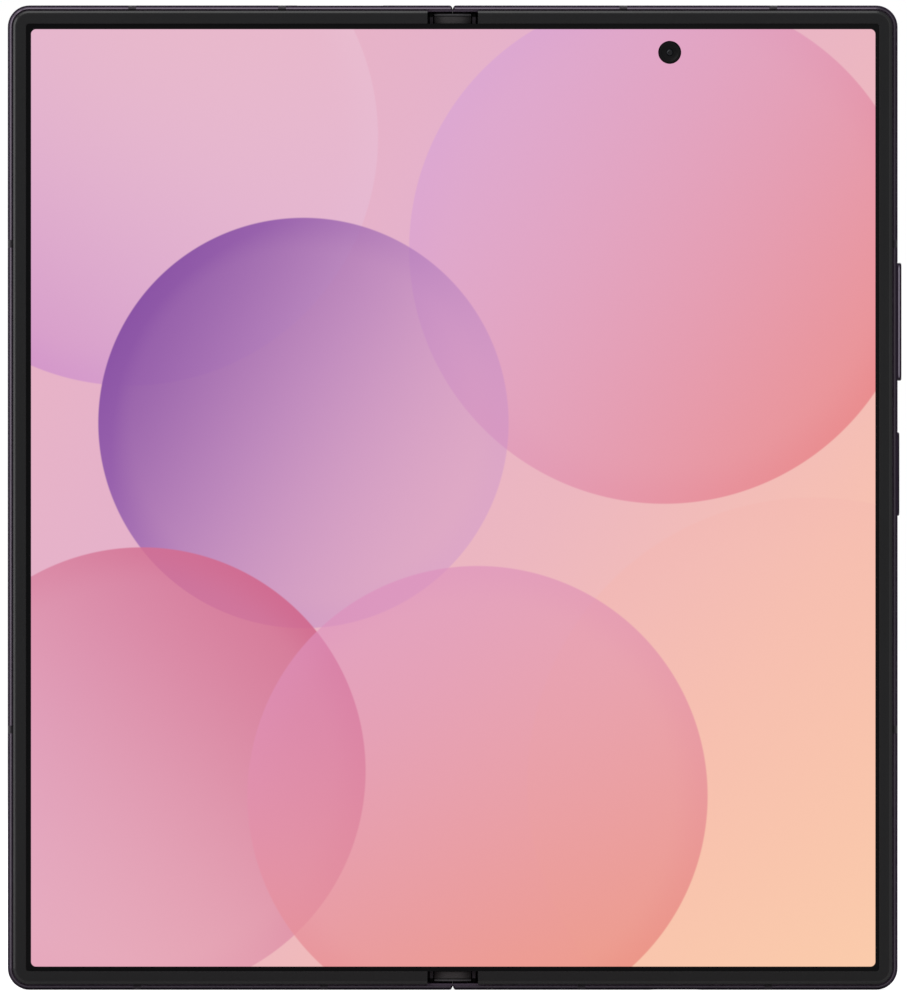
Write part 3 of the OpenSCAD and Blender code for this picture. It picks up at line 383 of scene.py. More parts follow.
class Nodes:
    """A node tree, with short calls that add to it."""

    def __init__(self, tree: bpy.types.NodeTree) -> None:
        """Takes a tree."""
        self.tree = tree

    def fill(self, node: bpy.types.Node, inputs: Inputs) -> None:
        """Sets or links a node's inputs.

        Args:
            node: The node.
            inputs: Values or sockets, by input name or number.
        """
        for key, value in inputs.items():
            socket = node.inputs[key]
            if isinstance(value, Socket):
                self.tree.links.new(value, socket)
            else:
                socket.default_value = value

    def add(self, kind: str, inputs: Inputs | None = None, **settings: object) -> bpy.types.Node:
        """Adds a node.

        Args:
            kind: Its type.
            inputs: Values or sockets for its inputs, by name or number.
            settings: Its own properties.

        Returns:
            The node.
        """
        node = self.tree.nodes.new(kind)
        for key, value in settings.items():
            setattr(node, key, value)
        self.fill(node, inputs or {})
        return node

    def calc(self, operation: str, *values: Value, clamp: bool = False) -> Socket:
        """Result of a Math node on up to three values or sockets."""
        node = self.add("ShaderNodeMath", dict(enumerate(values)), operation=operation, use_clamp=clamp)
        return node.outputs[0]


class Repeat(Nodes):
    """A Geometry Nodes tree with named inputs, run once and turned into a plain mesh."""

    def __init__(self, name: str, sizes: dict[str, float]) -> None:
        """Starts an empty tree.

        Args:
            name: Name of the tree and of the piece it makes.
            sizes: Its inputs, whole numbers for counts.
        """
        super().__init__(bpy.data.node_groups.new(name, "GeometryNodeTree"))
        self.name = name
        self.sizes = sizes
        for label, value in sizes.items():
            kind = "NodeSocketInt" if isinstance(value, int) else "NodeSocketFloat"
            self.tree.interface.new_socket(label, in_out="INPUT", socket_type=kind)
        self.tree.interface.new_socket("Geometry", in_out="OUTPUT", socket_type="NodeSocketGeometry")
        self.given = self.tree.nodes.new("NodeGroupInput")

    def __getitem__(self, label: str) -> Socket:
        """Socket of a named input."""
        return self.given.outputs[label]

    def vector(self, x: Value = 0.0, y: Value = 0.0, z: Value = 0.0) -> Socket:
        """Vector from three values or sockets."""
        return self.add("ShaderNodeCombineXYZ", {0: x, 1: y, 2: z}).outputs[0]

    def row(self, count: Value, start: Value, step: Value) -> Socket:
        """Points at even steps on a line."""
        inputs = {"Count": count, "Start Location": start, "Offset": step}
        return self.add("GeometryNodeMeshLine", inputs).outputs[0]

    def copies(self, points: Socket, shape: Socket, **inputs: Value) -> Socket:
        """Copies of a shape at points.

        Args:
            points: Where they stand.
            shape: What is copied.
            inputs: Their rotation, scale or selection.

        Returns:
            The copies.
        """
        inputs = {"Points": points, "Instance": shape, **inputs}
        return self.add("GeometryNodeInstanceOnPoints", inputs).outputs[0]

    def moved(self, shape: Socket, place: Vector, turn: Sequence[float] = (0, 0, 0)) -> Socket:
        """The shape turned about the origin, then moved."""
        inputs = {"Geometry": shape, "Translation": place, "Rotation": turn}
        return self.add("GeometryNodeTransform", inputs).outputs[0]

    def joined(self, shapes: Sequence[Socket]) -> Socket:
        """Joins shapes.

        Args:
            shapes: The shapes.

        Returns:
            All of them as one.
        """
        node = self.add("GeometryNodeJoinGeometry")
        for shape in shapes:
            self.tree.links.new(shape, node.inputs[0])
        return node.outputs[0]

    def spiral(self, turns: Value, start: Value, end: Value, height: Value, steps: int) -> Socket:
        """Spiral curve.

        Args:
            turns: How many times it goes round.
            start: Radius at its start.
            end: Radius at its end.
            height: Its rise.
            steps: Segments in each turn.

        Returns:
            The curve.
        """
        inputs = {"Resolution": steps, "Rotations": turns, "Height": height}
        inputs.update({"Start Radius": start, "End Radius": end})
        return self.add("GeometryNodeCurveSpiral", inputs).outputs[0]

    def wire(self, path: Socket, radius: Value, sides: int) -> Socket:
        """Round wire with closed ends.

        Args:
            path: Curve that it follows.
            radius: Its radius.
            sides: Faces round it.

        Returns:
            The wire.
        """
        ring = {"Resolution": sides, "Radius": radius}
        section = self.add("GeometryNodeCurvePrimitiveCircle", ring).outputs[0]
        inputs = {"Curve": path, "Profile Curve": section, "Fill Caps": True}
        return self.add("GeometryNodeCurveToMesh", inputs).outputs[0]

    def bake(self, shape: Socket, material: bpy.types.Material, smooth: bool = True) -> bpy.types.Object:
        """Ends the tree, runs it and keeps its mesh.

        Args:
            shape: Geometry that the tree makes.
            material: Finish of the piece.
            smooth: Whether its faces are shaded round.

        Returns:
            The piece, a plain mesh object.
        """
        shading = {"Geometry": shape, "Shade Smooth": smooth}
        shaded = self.add("GeometryNodeSetShadeSmooth", shading).outputs[0]
        real = self.add("GeometryNodeRealizeInstances", {0: shaded}).outputs[0]
        dressed = self.add("GeometryNodeSetMaterial", {"Geometry": real, "Material": material}).outputs[0]
        end = self.tree.nodes.new("NodeGroupOutput")
        self.tree.links.new(dressed, end.inputs[0])
        carrier = bpy.data.objects.new(self.name + "_carrier", bpy.data.meshes.new(self.name + "_carrier"))
        bpy.context.scene.collection.objects.link(carrier)
        modifier = carrier.modifiers.new("repeat", "NODES")
        modifier.node_group = self.tree
        for item in self.tree.interface.items_tree:
            if item.in_out == "INPUT":
                modifier[item.identifier] = self.sizes[item.name]
        carrier.update_tag()
        depsgraph = bpy.context.evaluated_depsgraph_get()
        mesh = bpy.data.meshes.new_from_object(carrier.evaluated_get(depsgraph))
        carrier.modifiers.remove(modifier)
        bpy.data.objects.remove(carrier)
        mesh.name = self.name
        mesh.materials.clear()
        mesh.materials.append(material)
        mesh.polygons.foreach_set("material_index", [0] * len(mesh.polygons))
        obj = bpy.data.objects.new(self.name, mesh)
        bpy.context.scene.collection.objects.link(obj)
        return obj


# ---- Finishes ----


class Graph(Nodes):
    """A material's node tree, with short calls for the nodes that the finishes use."""

    def __init__(self, name: str) -> None:
        """Starts a material with only its output node.

        Args:
            name: The material's name.
        """
        self.material = bpy.data.materials.new(name)
        self.material.use_nodes = True
        super().__init__(self.material.node_tree)
        self.tree.nodes.clear()
        self.output = self.tree.nodes.new("ShaderNodeOutputMaterial")

    def place(self, attribute: str = "") -> Socket:
        """Coordinates of a pattern.

        Args:
            attribute: Name of a vector that the mesh stores, or nothing for Object coordinates.

        Returns:
            The coordinates, in metres.
        """
        if attribute:
            return self.add("ShaderNodeAttribute", attribute_name=attribute).outputs["Vector"]
        return self.add("ShaderNodeTexCoord").outputs["Object"]

    def axes(self, attribute: str = "") -> tuple[Socket, Socket, Socket]:
        """The same coordinates in the object's three directions.

        Args:
            attribute: Name of a vector that the mesh stores, or nothing for Object coordinates.

        Returns:
            Millimetres across, along and out of the screen.
        """
        inputs = {0: self.place(attribute), "Scale": 1 / MM}
        scaled = self.add("ShaderNodeVectorMath", inputs, operation="SCALE").outputs[0]
        x, y, z = self.add("ShaderNodeSeparateXYZ", {0: scaled}).outputs
        return x, z, self.calc("MULTIPLY", y, -1.0)

    def size(self, value: Value) -> Socket:
        """The value without its sign."""
        return self.calc("ABSOLUTE", value)

    def within(self, u: Value, v: Value, half: Point, corner: float) -> Socket:
        """Millimetres inside a rounded rectangle round the middle.

        Args:
            u: Place across.
            v: Place along.
            half: Half of its width and of its height.
            corner: Its corner radius.

        Returns:
            The distance from its edge, below zero outside it.
        """
        over = [self.calc("SUBTRACT", self.size(x), h - corner) for x, h in ((u, half[0]), (v, half[1]))]
        far = [self.calc("POWER", self.calc("MAXIMUM", x, 0.0), 2.0) for x in over]
        outside = self.calc("SQRT", self.calc("ADD", far[0], far[1]))
        inside = self.calc("MINIMUM", self.calc("MAXIMUM", over[0], over[1]), 0.0)
        return self.calc("SUBTRACT", corner, self.calc("ADD", outside, inside))

    def reach(self, u: Value, v: Value, centre: Point) -> Socket:
        """Millimetres from an axis that runs out of the screen."""
        du, dv = self.calc("SUBTRACT", u, centre[0]), self.calc("SUBTRACT", v, centre[1])
        return self.calc("SQRT", self.calc("ADD", self.calc("POWER", du, 2.0), self.calc("POWER", dv, 2.0)))

    def spread(self, value: Value, low: float, high: float, to_low: float = 0.0, to_high: float = 1.0,
               smooth: bool = False) -> Socket:
        """Value mapped from one range to another and clamped.

        Args:
            value: Value or socket.
            low: Start of its range.
            high: End of its range.
            to_low: Result at the start.
            to_high: Result at the end.
            smooth: Whether it eases in and out.

        Returns:
            The result.
        """
        kind = "SMOOTHSTEP" if smooth else "LINEAR"
        inputs = {"Value": value, "From Min": low, "From Max": high, "To Min": to_low, "To Max": to_high}
        return self.add("ShaderNodeMapRange", inputs, interpolation_type=kind).outputs[0]

    def past(self, value: Value, edge: float, soft: float = 0.03) -> Socket:
        """One where the value is past an edge and nothing before it, with a step as soft as that."""
        return self.spread(value, edge - soft, edge + soft)

    def before(self, value: Value, edge: float, soft: float = 0.03) -> Socket:
        """One where the value is before an edge and nothing past it, with a step as soft as that."""
        return self.spread(value, edge - soft, edge + soft, 1.0, 0.0)

    def varied(self, noise: Value, low: float, high: float) -> Socket:
        """Value that follows a noise between two values."""
        return self.spread(noise, *NOISE_SPAN, low, high)

    def noise(self, place: Socket, grain: float, detail: float = 2.0) -> Socket:
        """Noise whose grains are that many millimetres wide."""
        inputs = {"Vector": place, "Scale": 1 / (grain * MM), "Detail": detail}
        return self.add("ShaderNodeTexNoise", inputs).outputs[0]

    def stretched(self, place: Socket, scale: tuple[float, float, float]) -> Socket:
        """Coordinates scaled in each direction, for drawn-out grain."""
        return self.add("ShaderNodeMapping", {"Vector": place, "Scale": scale}).outputs[0]

    def blend(self, share: Value, first: Value, second: Value) -> Socket:
        """Colour between two colours, from the colour sockets of a Mix node.

        Args:
            share: Share of the second.
            first: First colour.
            second: Second colour.

        Returns:
            The colour.
        """
        share_in, first_in, second_in, colour_out = 0, 6, 7, 2
        inputs = {share_in: share, first_in: first, second_in: second}
        return self.add("ShaderNodeMix", inputs, data_type="RGBA").outputs[colour_out]

    def bump(self, height: Value, depth: float, strength: float = 1.0) -> Socket:
        """Normal of a relief of that many millimetres."""
        inputs = {"Height": height, "Distance": depth * MM, "Strength": strength}
        return self.add("ShaderNodeBump", inputs).outputs[0]

    def surface(self, **inputs: Value) -> bpy.types.Material:
        """Ends the tree with a Principled shader.

        Args:
            inputs: Its values or sockets, with underscores for spaces in their names.

        Returns:
            The material.
        """
        named = {key.replace("_", " "): value for key, value in inputs.items()}
        return self.shown(self.add("ShaderNodeBsdfPrincipled", named).outputs[0])

    def shown(self, shader: Socket) -> bpy.types.Material:
        """Ends the tree with that shader."""
        self.tree.links.new(shader, self.output.inputs[0])
        return self.material


@dataclass(frozen=True)
class Finish(ABC):
    """A material with a name and a colour."""

    name: str
    colour: str

    @abstractmethod
    def build(self) -> bpy.types.Material:
        """Makes the material.

        Returns:
            The material.
        """

    @functools.cached_property
    def material(self) -> bpy.types.Material:
        """The material, made once."""
        return self.build()

    def toned(self, g: Graph, place: Socket, amount: float = 0.12, patch: float = 18.0) -> Socket:
        """The colour with a faint patchy change of tone.

        Args:
            g: Tree under construction.
            place: Coordinates of the pattern.
            amount: Largest darkening.
            patch: Size of the patches in millimetres.

        Returns:
            The colour's socket.
        """
        base = tint(self.colour)
        dark = (*(c * (1 - amount) for c in base[:3]), 1.0)
        return g.blend(g.noise(place, patch, 3.0), base, dark)


class Brush(Enum):
    """Direction of a metal's drawn grain, as the pattern's scale in each direction."""

    BLASTED = (1.0, 1.0, 1.0)
    ALONG_FOLD = (1.0, 1.0, 0.03)
    ACROSS = (0.03, 1.0, 1.0)


@dataclass(frozen=True)
class Metal(Finish):
    """Metal with blasted or drawn grain.

    It may turn matt and darker in front of shade_w, as painted shade inside the hinge's windows, and black
    beyond shade_black_v from the middle of the fold, as deeper painted shade.
    """

    roughness: float = 0.35
    grain: float = 0.12
    brush: Brush = Brush.BLASTED
    shade_w: float | None = None
    shade_black_v: float = 77.32
    # Painted shade inside the hinge's windows: a darker colour, and black further in.
    shade_colour: str = "#262327"
    shade_black: str = "#010101"

    def build(self) -> bpy.types.Material:
        """Makes the metal's material.

        Returns:
            The material.
        """
        g = Graph(self.name)
        place = g.place()
        grain = g.noise(g.stretched(place, self.brush.value), self.grain, 3.0)
        roughness = g.varied(grain, self.roughness - 0.07, self.roughness + 0.07)
        bright = g.spread(grain, *GRAIN_SPAN, 0.0, 0.05)
        colour = g.blend(bright, self.toned(g, place), tint(BRIGHT_GRAIN))
        metallic: Value = 1.0
        # Painted shade: in front of the height the metal turns matt and darker, and black towards the ends of
        # the fold.
        if self.shade_w is not None:
            _, v, w = g.axes()
            in_shade = g.past(w, self.shade_w)
            ends = g.past(g.size(v), self.shade_black_v)
            colour = g.blend(in_shade, colour, g.blend(ends, tint(self.shade_colour), tint(self.shade_black)))
            metallic = g.calc("SUBTRACT", 1.0, in_shade)
        return g.surface(Base_Color=colour, Metallic=metallic, Roughness=roughness, Specular_IOR_Level=0.02,
                         Normal=g.bump(grain, 0.004, 0.5))


@dataclass(frozen=True)
class FrameMetal(Finish):
    """Blasted frame metal with chamfers given polish and a lighter colour, a painted highlight, and a matt
    darker inside, painted shade of the groove and the inner walls.

    Each height and depth is a pair, the start and the end of a soft edge. The mouths at the ends of the fold
    reach to window from the middle; they are darkened as painted shade, and painted black beyond
    mouth_shade_v as deeper shade.
    """

    # The chamfer colour is a painted highlight; the inside and mouth colours are painted shade.
    chamfer_highlight: str = "#433d45"
    inside: str = "#3f3742"
    mouth: str = "#231f24"
    window: Point = (4.3, 78.06)
    mouth_shade_v: float = 77.32
    middle_w: float = 2.0
    chamfer_rise: Point = (1.55, 1.65)
    chamfer_inset: Point = (0.45, 0.5)
    shade_inset: Point = (0.63, 0.67)
    shade_w: Point = (0.55, 0.62)

    def build(self) -> bpy.types.Material:
        """Makes the frame's material.

        Returns:
            The material.
        """
        g = Graph(self.name)
        place = g.place()
        u, v, w = g.axes()
        inset = g.within(u, v, BODY, BODY_CORNER)
        near_face = g.spread(g.size(g.calc("SUBTRACT", w, self.middle_w)), *self.chamfer_rise)
        # Painted highlight: the chamfers near the faces are lightened, besides their real polish that lowers
        # the roughness.
        polish_and_highlight = g.calc("MULTIPLY", near_face, g.spread(inset, *self.chamfer_inset))
        # Painted shade: the groove and the inner walls lose the metal and turn darker.
        in_shade = g.calc("MULTIPLY", g.spread(inset, *self.shade_inset), g.spread(w, *self.shade_w))
        grain = g.noise(place, 0.1, 3.0)
        bright = g.spread(grain, *GRAIN_SPAN, 0.0, 0.03)
        colour = g.blend(bright, self.toned(g, place), tint(BRIGHT_GRAIN))
        colour = g.blend(polish_and_highlight, colour, tint(self.chamfer_highlight))
        end = g.size(v)
        mouth_u, mouth_v = self.window
        # Painted shade in the hinge's windows: darker in the mouths and black further in.
        in_mouth = g.calc("MULTIPLY", g.before(g.size(u), mouth_u, 0.04), g.before(end, mouth_v))
        deep_shade = g.blend(g.past(end, self.mouth_shade_v), tint(self.mouth), tint(GAP_BLACK))
        colour = g.blend(in_shade, colour, g.blend(in_mouth, tint(self.inside), deep_shade))
        rough = g.calc("MULTIPLY_ADD", polish_and_highlight, -0.14, g.varied(grain, 0.28, 0.38))
        rough = g.calc("MULTIPLY_ADD", in_shade, 0.25, rough)
        return g.surface(Base_Color=colour, Metallic=g.calc("SUBTRACT", 1.0, in_shade), Roughness=rough,
                         Specular_IOR_Level=0.1, Specular_Tint=(0.3, 0.28, 0.32, 1.0),
                         Normal=g.bump(grain, 0.003, 0.4))


@dataclass(frozen=True)
class KeyMetal(Finish):
    """Key metal with grain along the key, and a painted highlight: a light line where its flank would catch
    the light.

    line_u is where the line starts and ends across, line_v its middle and half its length along the fold.
    """

    # Colour of the painted highlight line.
    line: str = "#77707c"
    line_u: Point = (71.72, 71.88)
    line_v: Point = (28.3, 9.0)

    def build(self) -> bpy.types.Material:
        """Makes the key's material.

        Returns:
            The material.
        """
        g = Graph(self.name)
        place = g.place()
        across, along, _ = g.axes()
        grain = g.noise(g.stretched(place, Brush.ALONG_FOLD.value), 0.09, 3.0)
        start, end = self.line_u
        line = g.calc("MULTIPLY", g.past(across, start, 0.04), g.before(across, end, 0.04))
        middle, half = self.line_v
        from_middle = g.size(g.calc("SUBTRACT", along, middle))
        line = g.calc("MULTIPLY", line, g.spread(from_middle, half - 0.2, half + 0.1, 1.0, 0.0))
        # Painted highlight: the key's side is lightened along a line.
        colour = g.blend(line, self.toned(g, place), tint(self.line))
        return g.surface(Base_Color=colour, Metallic=1.0, Roughness=g.varied(grain, 0.26, 0.38),
                         Normal=g.bump(grain, 0.003, 0.4))


@dataclass(frozen=True)
class Polymer(Finish):
    """Moulded plastic with a fine texture."""

    roughness: float = 0.5
    specular: float = 0.3
    grain: float = 0.16

    def build(self) -> bpy.types.Material:
        """Makes the plastic's material.

        Returns:
            The material.
        """
        g = Graph(self.name)
        place = g.place()
        grain = g.noise(place, self.grain, 2.0)
        roughness = g.varied(grain, self.roughness - 0.08, self.roughness + 0.08)
        return g.surface(Base_Color=self.toned(g, place), Roughness=roughness,
                         Specular_IOR_Level=self.specular, Normal=g.bump(grain, 0.006, 0.6))


@dataclass(frozen=True)
class Bezel(Finish):
    """Soft black frame round the screen, glossy on its outer bevel.

    The bevel starts and ends at two insets and stands in front of a height, each with its soft edge.
    """

    bevel: str = "#0d0d0e"
    bevel_start: Point = (0.93, 0.97)
    bevel_end: Point = (1.3, 1.46)
    bevel_w: Point = (3.5, 3.6)

    def build(self) -> bpy.types.Material:
        """Makes the bezel's material.

        Returns:
            The material.
        """
        g = Graph(self.name)
        place = g.place()
        u, v, w = g.axes()
        inset = g.within(u, v, BODY, BODY_CORNER)
        bevel = g.spread(inset, *self.bevel_end, 1.0, 0.0)
        bevel = g.calc("MULTIPLY", bevel, g.spread(inset, *self.bevel_start))
        bevel = g.calc("MULTIPLY", bevel, g.spread(w, *self.bevel_w))
        grain = g.noise(place, 0.14, 2.0)
        colour = g.blend(bevel, self.toned(g, place, 0.15, 12.0), tint(self.bevel))
        rough = g.calc("MULTIPLY_ADD", bevel, -0.28, g.varied(grain, 0.48, 0.62))
        return g.surface(Base_Color=colour, Roughness=rough, Specular_IOR_Level=0.09, Coat_Roughness=0.22,
                         Coat_Weight=g.calc("MULTIPLY", bevel, 0.3), Normal=g.bump(grain, 0.005, 0.5))


@dataclass(frozen=True)
class EndCap(Finish):
    """Moulded end cap of the hinge, with a groove before its outer lip: its flanks are darkened as painted
    shade of its curve, its groove and far end are painted black as shade, and a painted highlight runs along
    the lip's edge.

    crown_u is where the crown's colour starts to change and where the flank's is reached.
    """

    crown_u: Point = (1.1, 2.7)
    # flank is painted shade on the sides of the curve; edge is a painted highlight along the lip.
    flank: str = "#141113"
    lip: str = "#1b1a1c"
    edge: str = "#434144"
    groove_v: Point = (77.3, 77.46)
    edge_highlight_v: float = 77.6
    lip_shade_v: float = 77.7

    def build(self) -> bpy.types.Material:
        """Makes the end cap's material.

        Returns:
            The material.
        """
        g = Graph(self.name)
        place = g.place()
        u, v, _ = g.axes()
        # Painted shade: the flanks of the curved crown are darker.
        side = g.spread(g.size(u), *self.crown_u, smooth=True)
        end = g.size(v)
        start, lip_start = self.groove_v
        lip = g.past(end, lip_start)
        groove = g.calc("MULTIPLY", g.past(end, start), g.calc("SUBTRACT", 1.0, lip))
        grain = g.noise(place, 0.12, 2.0)
        colour = g.blend(side, self.toned(g, place, 0.1, 3.0), tint(self.flank))
        # Painted highlight: a lighter line along the edge of the lip.
        rim = g.blend(g.past(end, self.edge_highlight_v), tint(self.lip), tint(self.edge))
        # Painted shade: the groove and the cap's far end, under the frame, are black.
        black = g.calc("MAXIMUM", groove, g.past(end, self.lip_shade_v))
        colour = g.blend(black, g.blend(lip, colour, rim), tint(GAP_BLACK))
        height = g.calc("MULTIPLY_ADD", groove, -6.0, grain)
        return g.surface(Base_Color=colour, Roughness=g.varied(grain, 0.4, 0.55),
                         Specular_IOR_Level=0.12, Normal=g.bump(height, 0.01, 0.6))


@dataclass(frozen=True)
class ScreenGlass(Finish):
    """Glossy glass over a screen that is off: a black border round a slightly lighter panel."""

    border: str = "#030304"
    middle_u: float = -36.1
    half: Point = (33.2, 76.9)
    corner: float = 2.2

    def build(self) -> bpy.types.Material:
        """Makes the screen glass's material.

        Returns:
            The material.
        """
        g = Graph(self.name)
        place = g.place()
        u, v, _ = g.axes()
        inset = g.within(g.calc("SUBTRACT", u, self.middle_u), v, self.half, self.corner)
        colour = g.blend(g.past(inset, 0.0, 0.05), tint(self.border), self.toned(g, place, 0.1, 30.0))
        smear = g.noise(place, 22.0, 4.0)
        return g.surface(Base_Color=colour, Roughness=g.spread(smear, *SMEAR_SPAN, 0.04, 0.08),
                         Specular_IOR_Level=0.18, Coat_Weight=0.15, Coat_Roughness=0.03)


@dataclass(frozen=True)
class Glass(Finish):
    """Opaque glass: a dark coating under a clear or frosted face."""

    roughness: float = 0.05
    frost: float = 0.0

    def build(self) -> bpy.types.Material:
        """Makes the glass's material.

        Returns:
            The material.
        """
        g = Graph(self.name)
        place = g.place()
        smear = g.noise(place, 26.0, 4.0)
        sparkle = g.noise(place, 0.09, 1.0)
        roughness = g.spread(smear, *SMEAR_SPAN, self.roughness, self.roughness * 1.15)
        height = g.calc("MULTIPLY", sparkle, self.frost)
        return g.surface(Base_Color=self.toned(g, place, 0.08, 40.0), Roughness=roughness,
                         Specular_IOR_Level=0.25, Normal=g.bump(height, 0.004, 0.6))


@dataclass(frozen=True)
class LensCover(Finish):
    """Cover glass of a camera: clear over the lens, printed black round it."""

    centres: tuple[Point, ...] = ((0.0, 0.0),)
    clear_r: tuple[float, ...] = (1.0,)

    def build(self) -> bpy.types.Material:
        """Makes the cover's material.

        Returns:
            The material.
        """
        g = Graph(self.name)
        u, v, _ = g.axes()
        openings = [g.before(g.reach(u, v, centre), r) for centre, r in zip(self.centres, self.clear_r)]
        clear = functools.reduce(lambda a, b: g.calc("MAXIMUM", a, b), openings)
        smear = g.noise(g.place(), 3.0, 3.0)
        return g.surface(Base_Color=g.blend(clear, tint(self.colour), grey(1.0)), IOR=1.22,
                         Roughness=g.spread(smear, 0.4, 0.8, 0.0, 0.02), Transmission_Weight=clear)


@dataclass(frozen=True)
class Lens(Finish):
    """A lens with a coating over the depth of its barrel, whose shade is painted black in the lens's middle.
    """

    centre: Point = (0.0, 0.0)
    radius: float = 1.0
    gloss: float = 0.18
    edge: str = "#05060a"
    # Painted shade: the black in the middle stands for the dark depth of the barrel.
    depth_shade: str = "#010102"
    depth_shade_share: Point = (0.34, 0.42)

    def build(self) -> bpy.types.Material:
        """Makes the lens's material.

        Returns:
            The material.
        """
        g = Graph(self.name)
        u, v, _ = g.axes()
        share = g.calc("DIVIDE", g.reach(u, v, self.centre), self.radius)
        # Painted shade of the barrel's depth in the middle of the lens.
        depth_shade = g.spread(share, *self.depth_shade_share, 1.0, 0.0, smooth=True)
        ring = g.blend(g.spread(share, 0.4, 1.0, smooth=True), tint(self.colour), tint(self.edge))
        haze = g.noise(g.place(), 1.5, 2.0)
        return g.surface(Base_Color=g.blend(depth_shade, ring, tint(self.depth_shade)), Specular_IOR_Level=self.gloss,
                         Roughness=g.varied(haze, 0.03, 0.07))


@dataclass(frozen=True)
class Turned(Finish):
    """Turned metal, whose fine grooves run round each of several axes."""

    centres: tuple[Point, ...] = ((0.0, 0.0),)
    pitch: float = 0.07

    def build(self) -> bpy.types.Material:
        """Makes the turned metal's material.

        Returns:
            The material.
        """
        g = Graph(self.name)
        place = g.place()
        u, v, _ = g.axes()
        reaches = [g.reach(u, v, centre) for centre in self.centres]
        distance = functools.reduce(lambda a, b: g.calc("MINIMUM", a, b), reaches)
        groove = g.calc("SINE", g.calc("MULTIPLY", distance, 2 * math.pi / self.pitch))
        grain = g.noise(place, 0.1, 2.0)
        height = g.calc("MULTIPLY_ADD", grain, 0.6, g.calc("MULTIPLY", groove, 0.5))
        roughness = g.varied(grain, 0.2, 0.32)
        return g.surface(Base_Color=self.toned(g, place), Metallic=1.0, Roughness=roughness,
                         Normal=g.bump(height, 0.003, 0.4))


@dataclass(frozen=True)
class Circuit(Finish):
    """Solder mask over copper tracks and plated holes."""

    track: float = 0.35
    hole_pitch: float = 1.1
    plating: str = "#c9a55c"

    def build(self) -> bpy.types.Material:
        """Makes the circuit board's material.

        Returns:
            The material.
        """
        g = Graph(self.name)
        place = g.place()
        bend = g.calc("MULTIPLY", g.noise(place, 6.0, 0.0), 6.0)
        across = g.calc("ADD", g.axes()[0], bend)
        wave = g.calc("SINE", g.calc("MULTIPLY", across, math.pi / self.track))
        zones = g.spread(g.noise(place, 7.0, 1.0), 0.48, 0.52)
        tracks = g.calc("MULTIPLY", g.spread(wave, 0.1, 0.3), zones)
        cells = g.add("ShaderNodeTexVoronoi", {"Vector": place, "Scale": 1 / (self.hole_pitch * MM)})
        holes = g.spread(cells.outputs["Distance"], 0.16, 0.2, 1.0, 0.0)
        light = (*(min(c * 1.9, 1.0) for c in tint(self.colour)[:3]), 1.0)
        colour = g.blend(tracks, self.toned(g, place), light)
        colour = g.blend(holes, colour, tint(self.plating))
        return g.surface(Base_Color=colour, Roughness=0.35, Coat_Weight=0.3, Coat_Roughness=0.2,
                         Normal=g.bump(tracks, 0.02, 0.5))


@dataclass(frozen=True)
class Foil(Finish):
    """Wrinkled wrap round a battery cell."""

    def build(self) -> bpy.types.Material:
        """Makes the wrap's material.

        Returns:
            The material.
        """
        g = Graph(self.name)
        place = g.place()
        wrinkle = g.noise(g.stretched(place, (1.0, 1.0, 0.4)), 4.0, 5.0)
        roughness = g.varied(wrinkle, 0.25, 0.5)
        return g.surface(Base_Color=self.toned(g, place, 0.25, 10.0), Roughness=roughness,
                         Specular_IOR_Level=0.4, Normal=g.bump(wrinkle, 0.08, 0.5))


@dataclass(frozen=True)
class FlexFilm(Finish):
    """Amber film with copper tracks along it."""

    pitch: float = 0.55
    attribute: str = ""
    copper: str = "#c77f45"

    def build(self) -> bpy.types.Material:
        """Makes the film's material.

        Returns:
            The material.
        """
        g = Graph(self.name)
        place = g.place(self.attribute)
        _, v, _ = g.axes(self.attribute)
        wave = g.calc("SINE", g.calc("MULTIPLY", v, 2 * math.pi / self.pitch))
        tracks = g.spread(wave, -0.1, 0.2)
        colour = g.blend(tracks, self.toned(g, place, 0.2, 5.0), tint(self.copper))
        return g.surface(Base_Color=colour, Roughness=0.32, Coat_Weight=0.5, Coat_Roughness=0.15,
                         Normal=g.bump(tracks, 0.02, 0.6))


@dataclass(frozen=True)
class Diffuser(Finish):
    """Flash window: a yellow emitter under ring-shaped prisms."""

    centre: Point = (0.0, 0.0)
    half_side: float = 0.55
    emitter: str = "#e8b62e"

    def build(self) -> bpy.types.Material:
        """Makes the flash window's material.

        Returns:
            The material.
        """
        g = Graph(self.name)
        u, v, _ = g.axes()
        du, dv = g.calc("SUBTRACT", u, self.centre[0]), g.calc("SUBTRACT", v, self.centre[1])
        from_middle = g.calc("MAXIMUM", g.size(du), g.size(dv))
        square = g.before(from_middle, self.half_side, self.half_side * 0.15)
        colour = g.blend(square, tint(self.colour), tint(self.emitter))
        return g.surface(Base_Color=colour, Roughness=0.15, Coat_Weight=1.0, Coat_Roughness=0.05)


@dataclass(frozen=True)
class Disc:
    """A translucent disc of the screen's picture, shaded from one side to the other.

    Its colour and its strength go from the near side to the far side, which lies at the angle turn.
    """

    centre: Point
    radius: float
    near: str
    far: str
    turn: float
    strength: Point


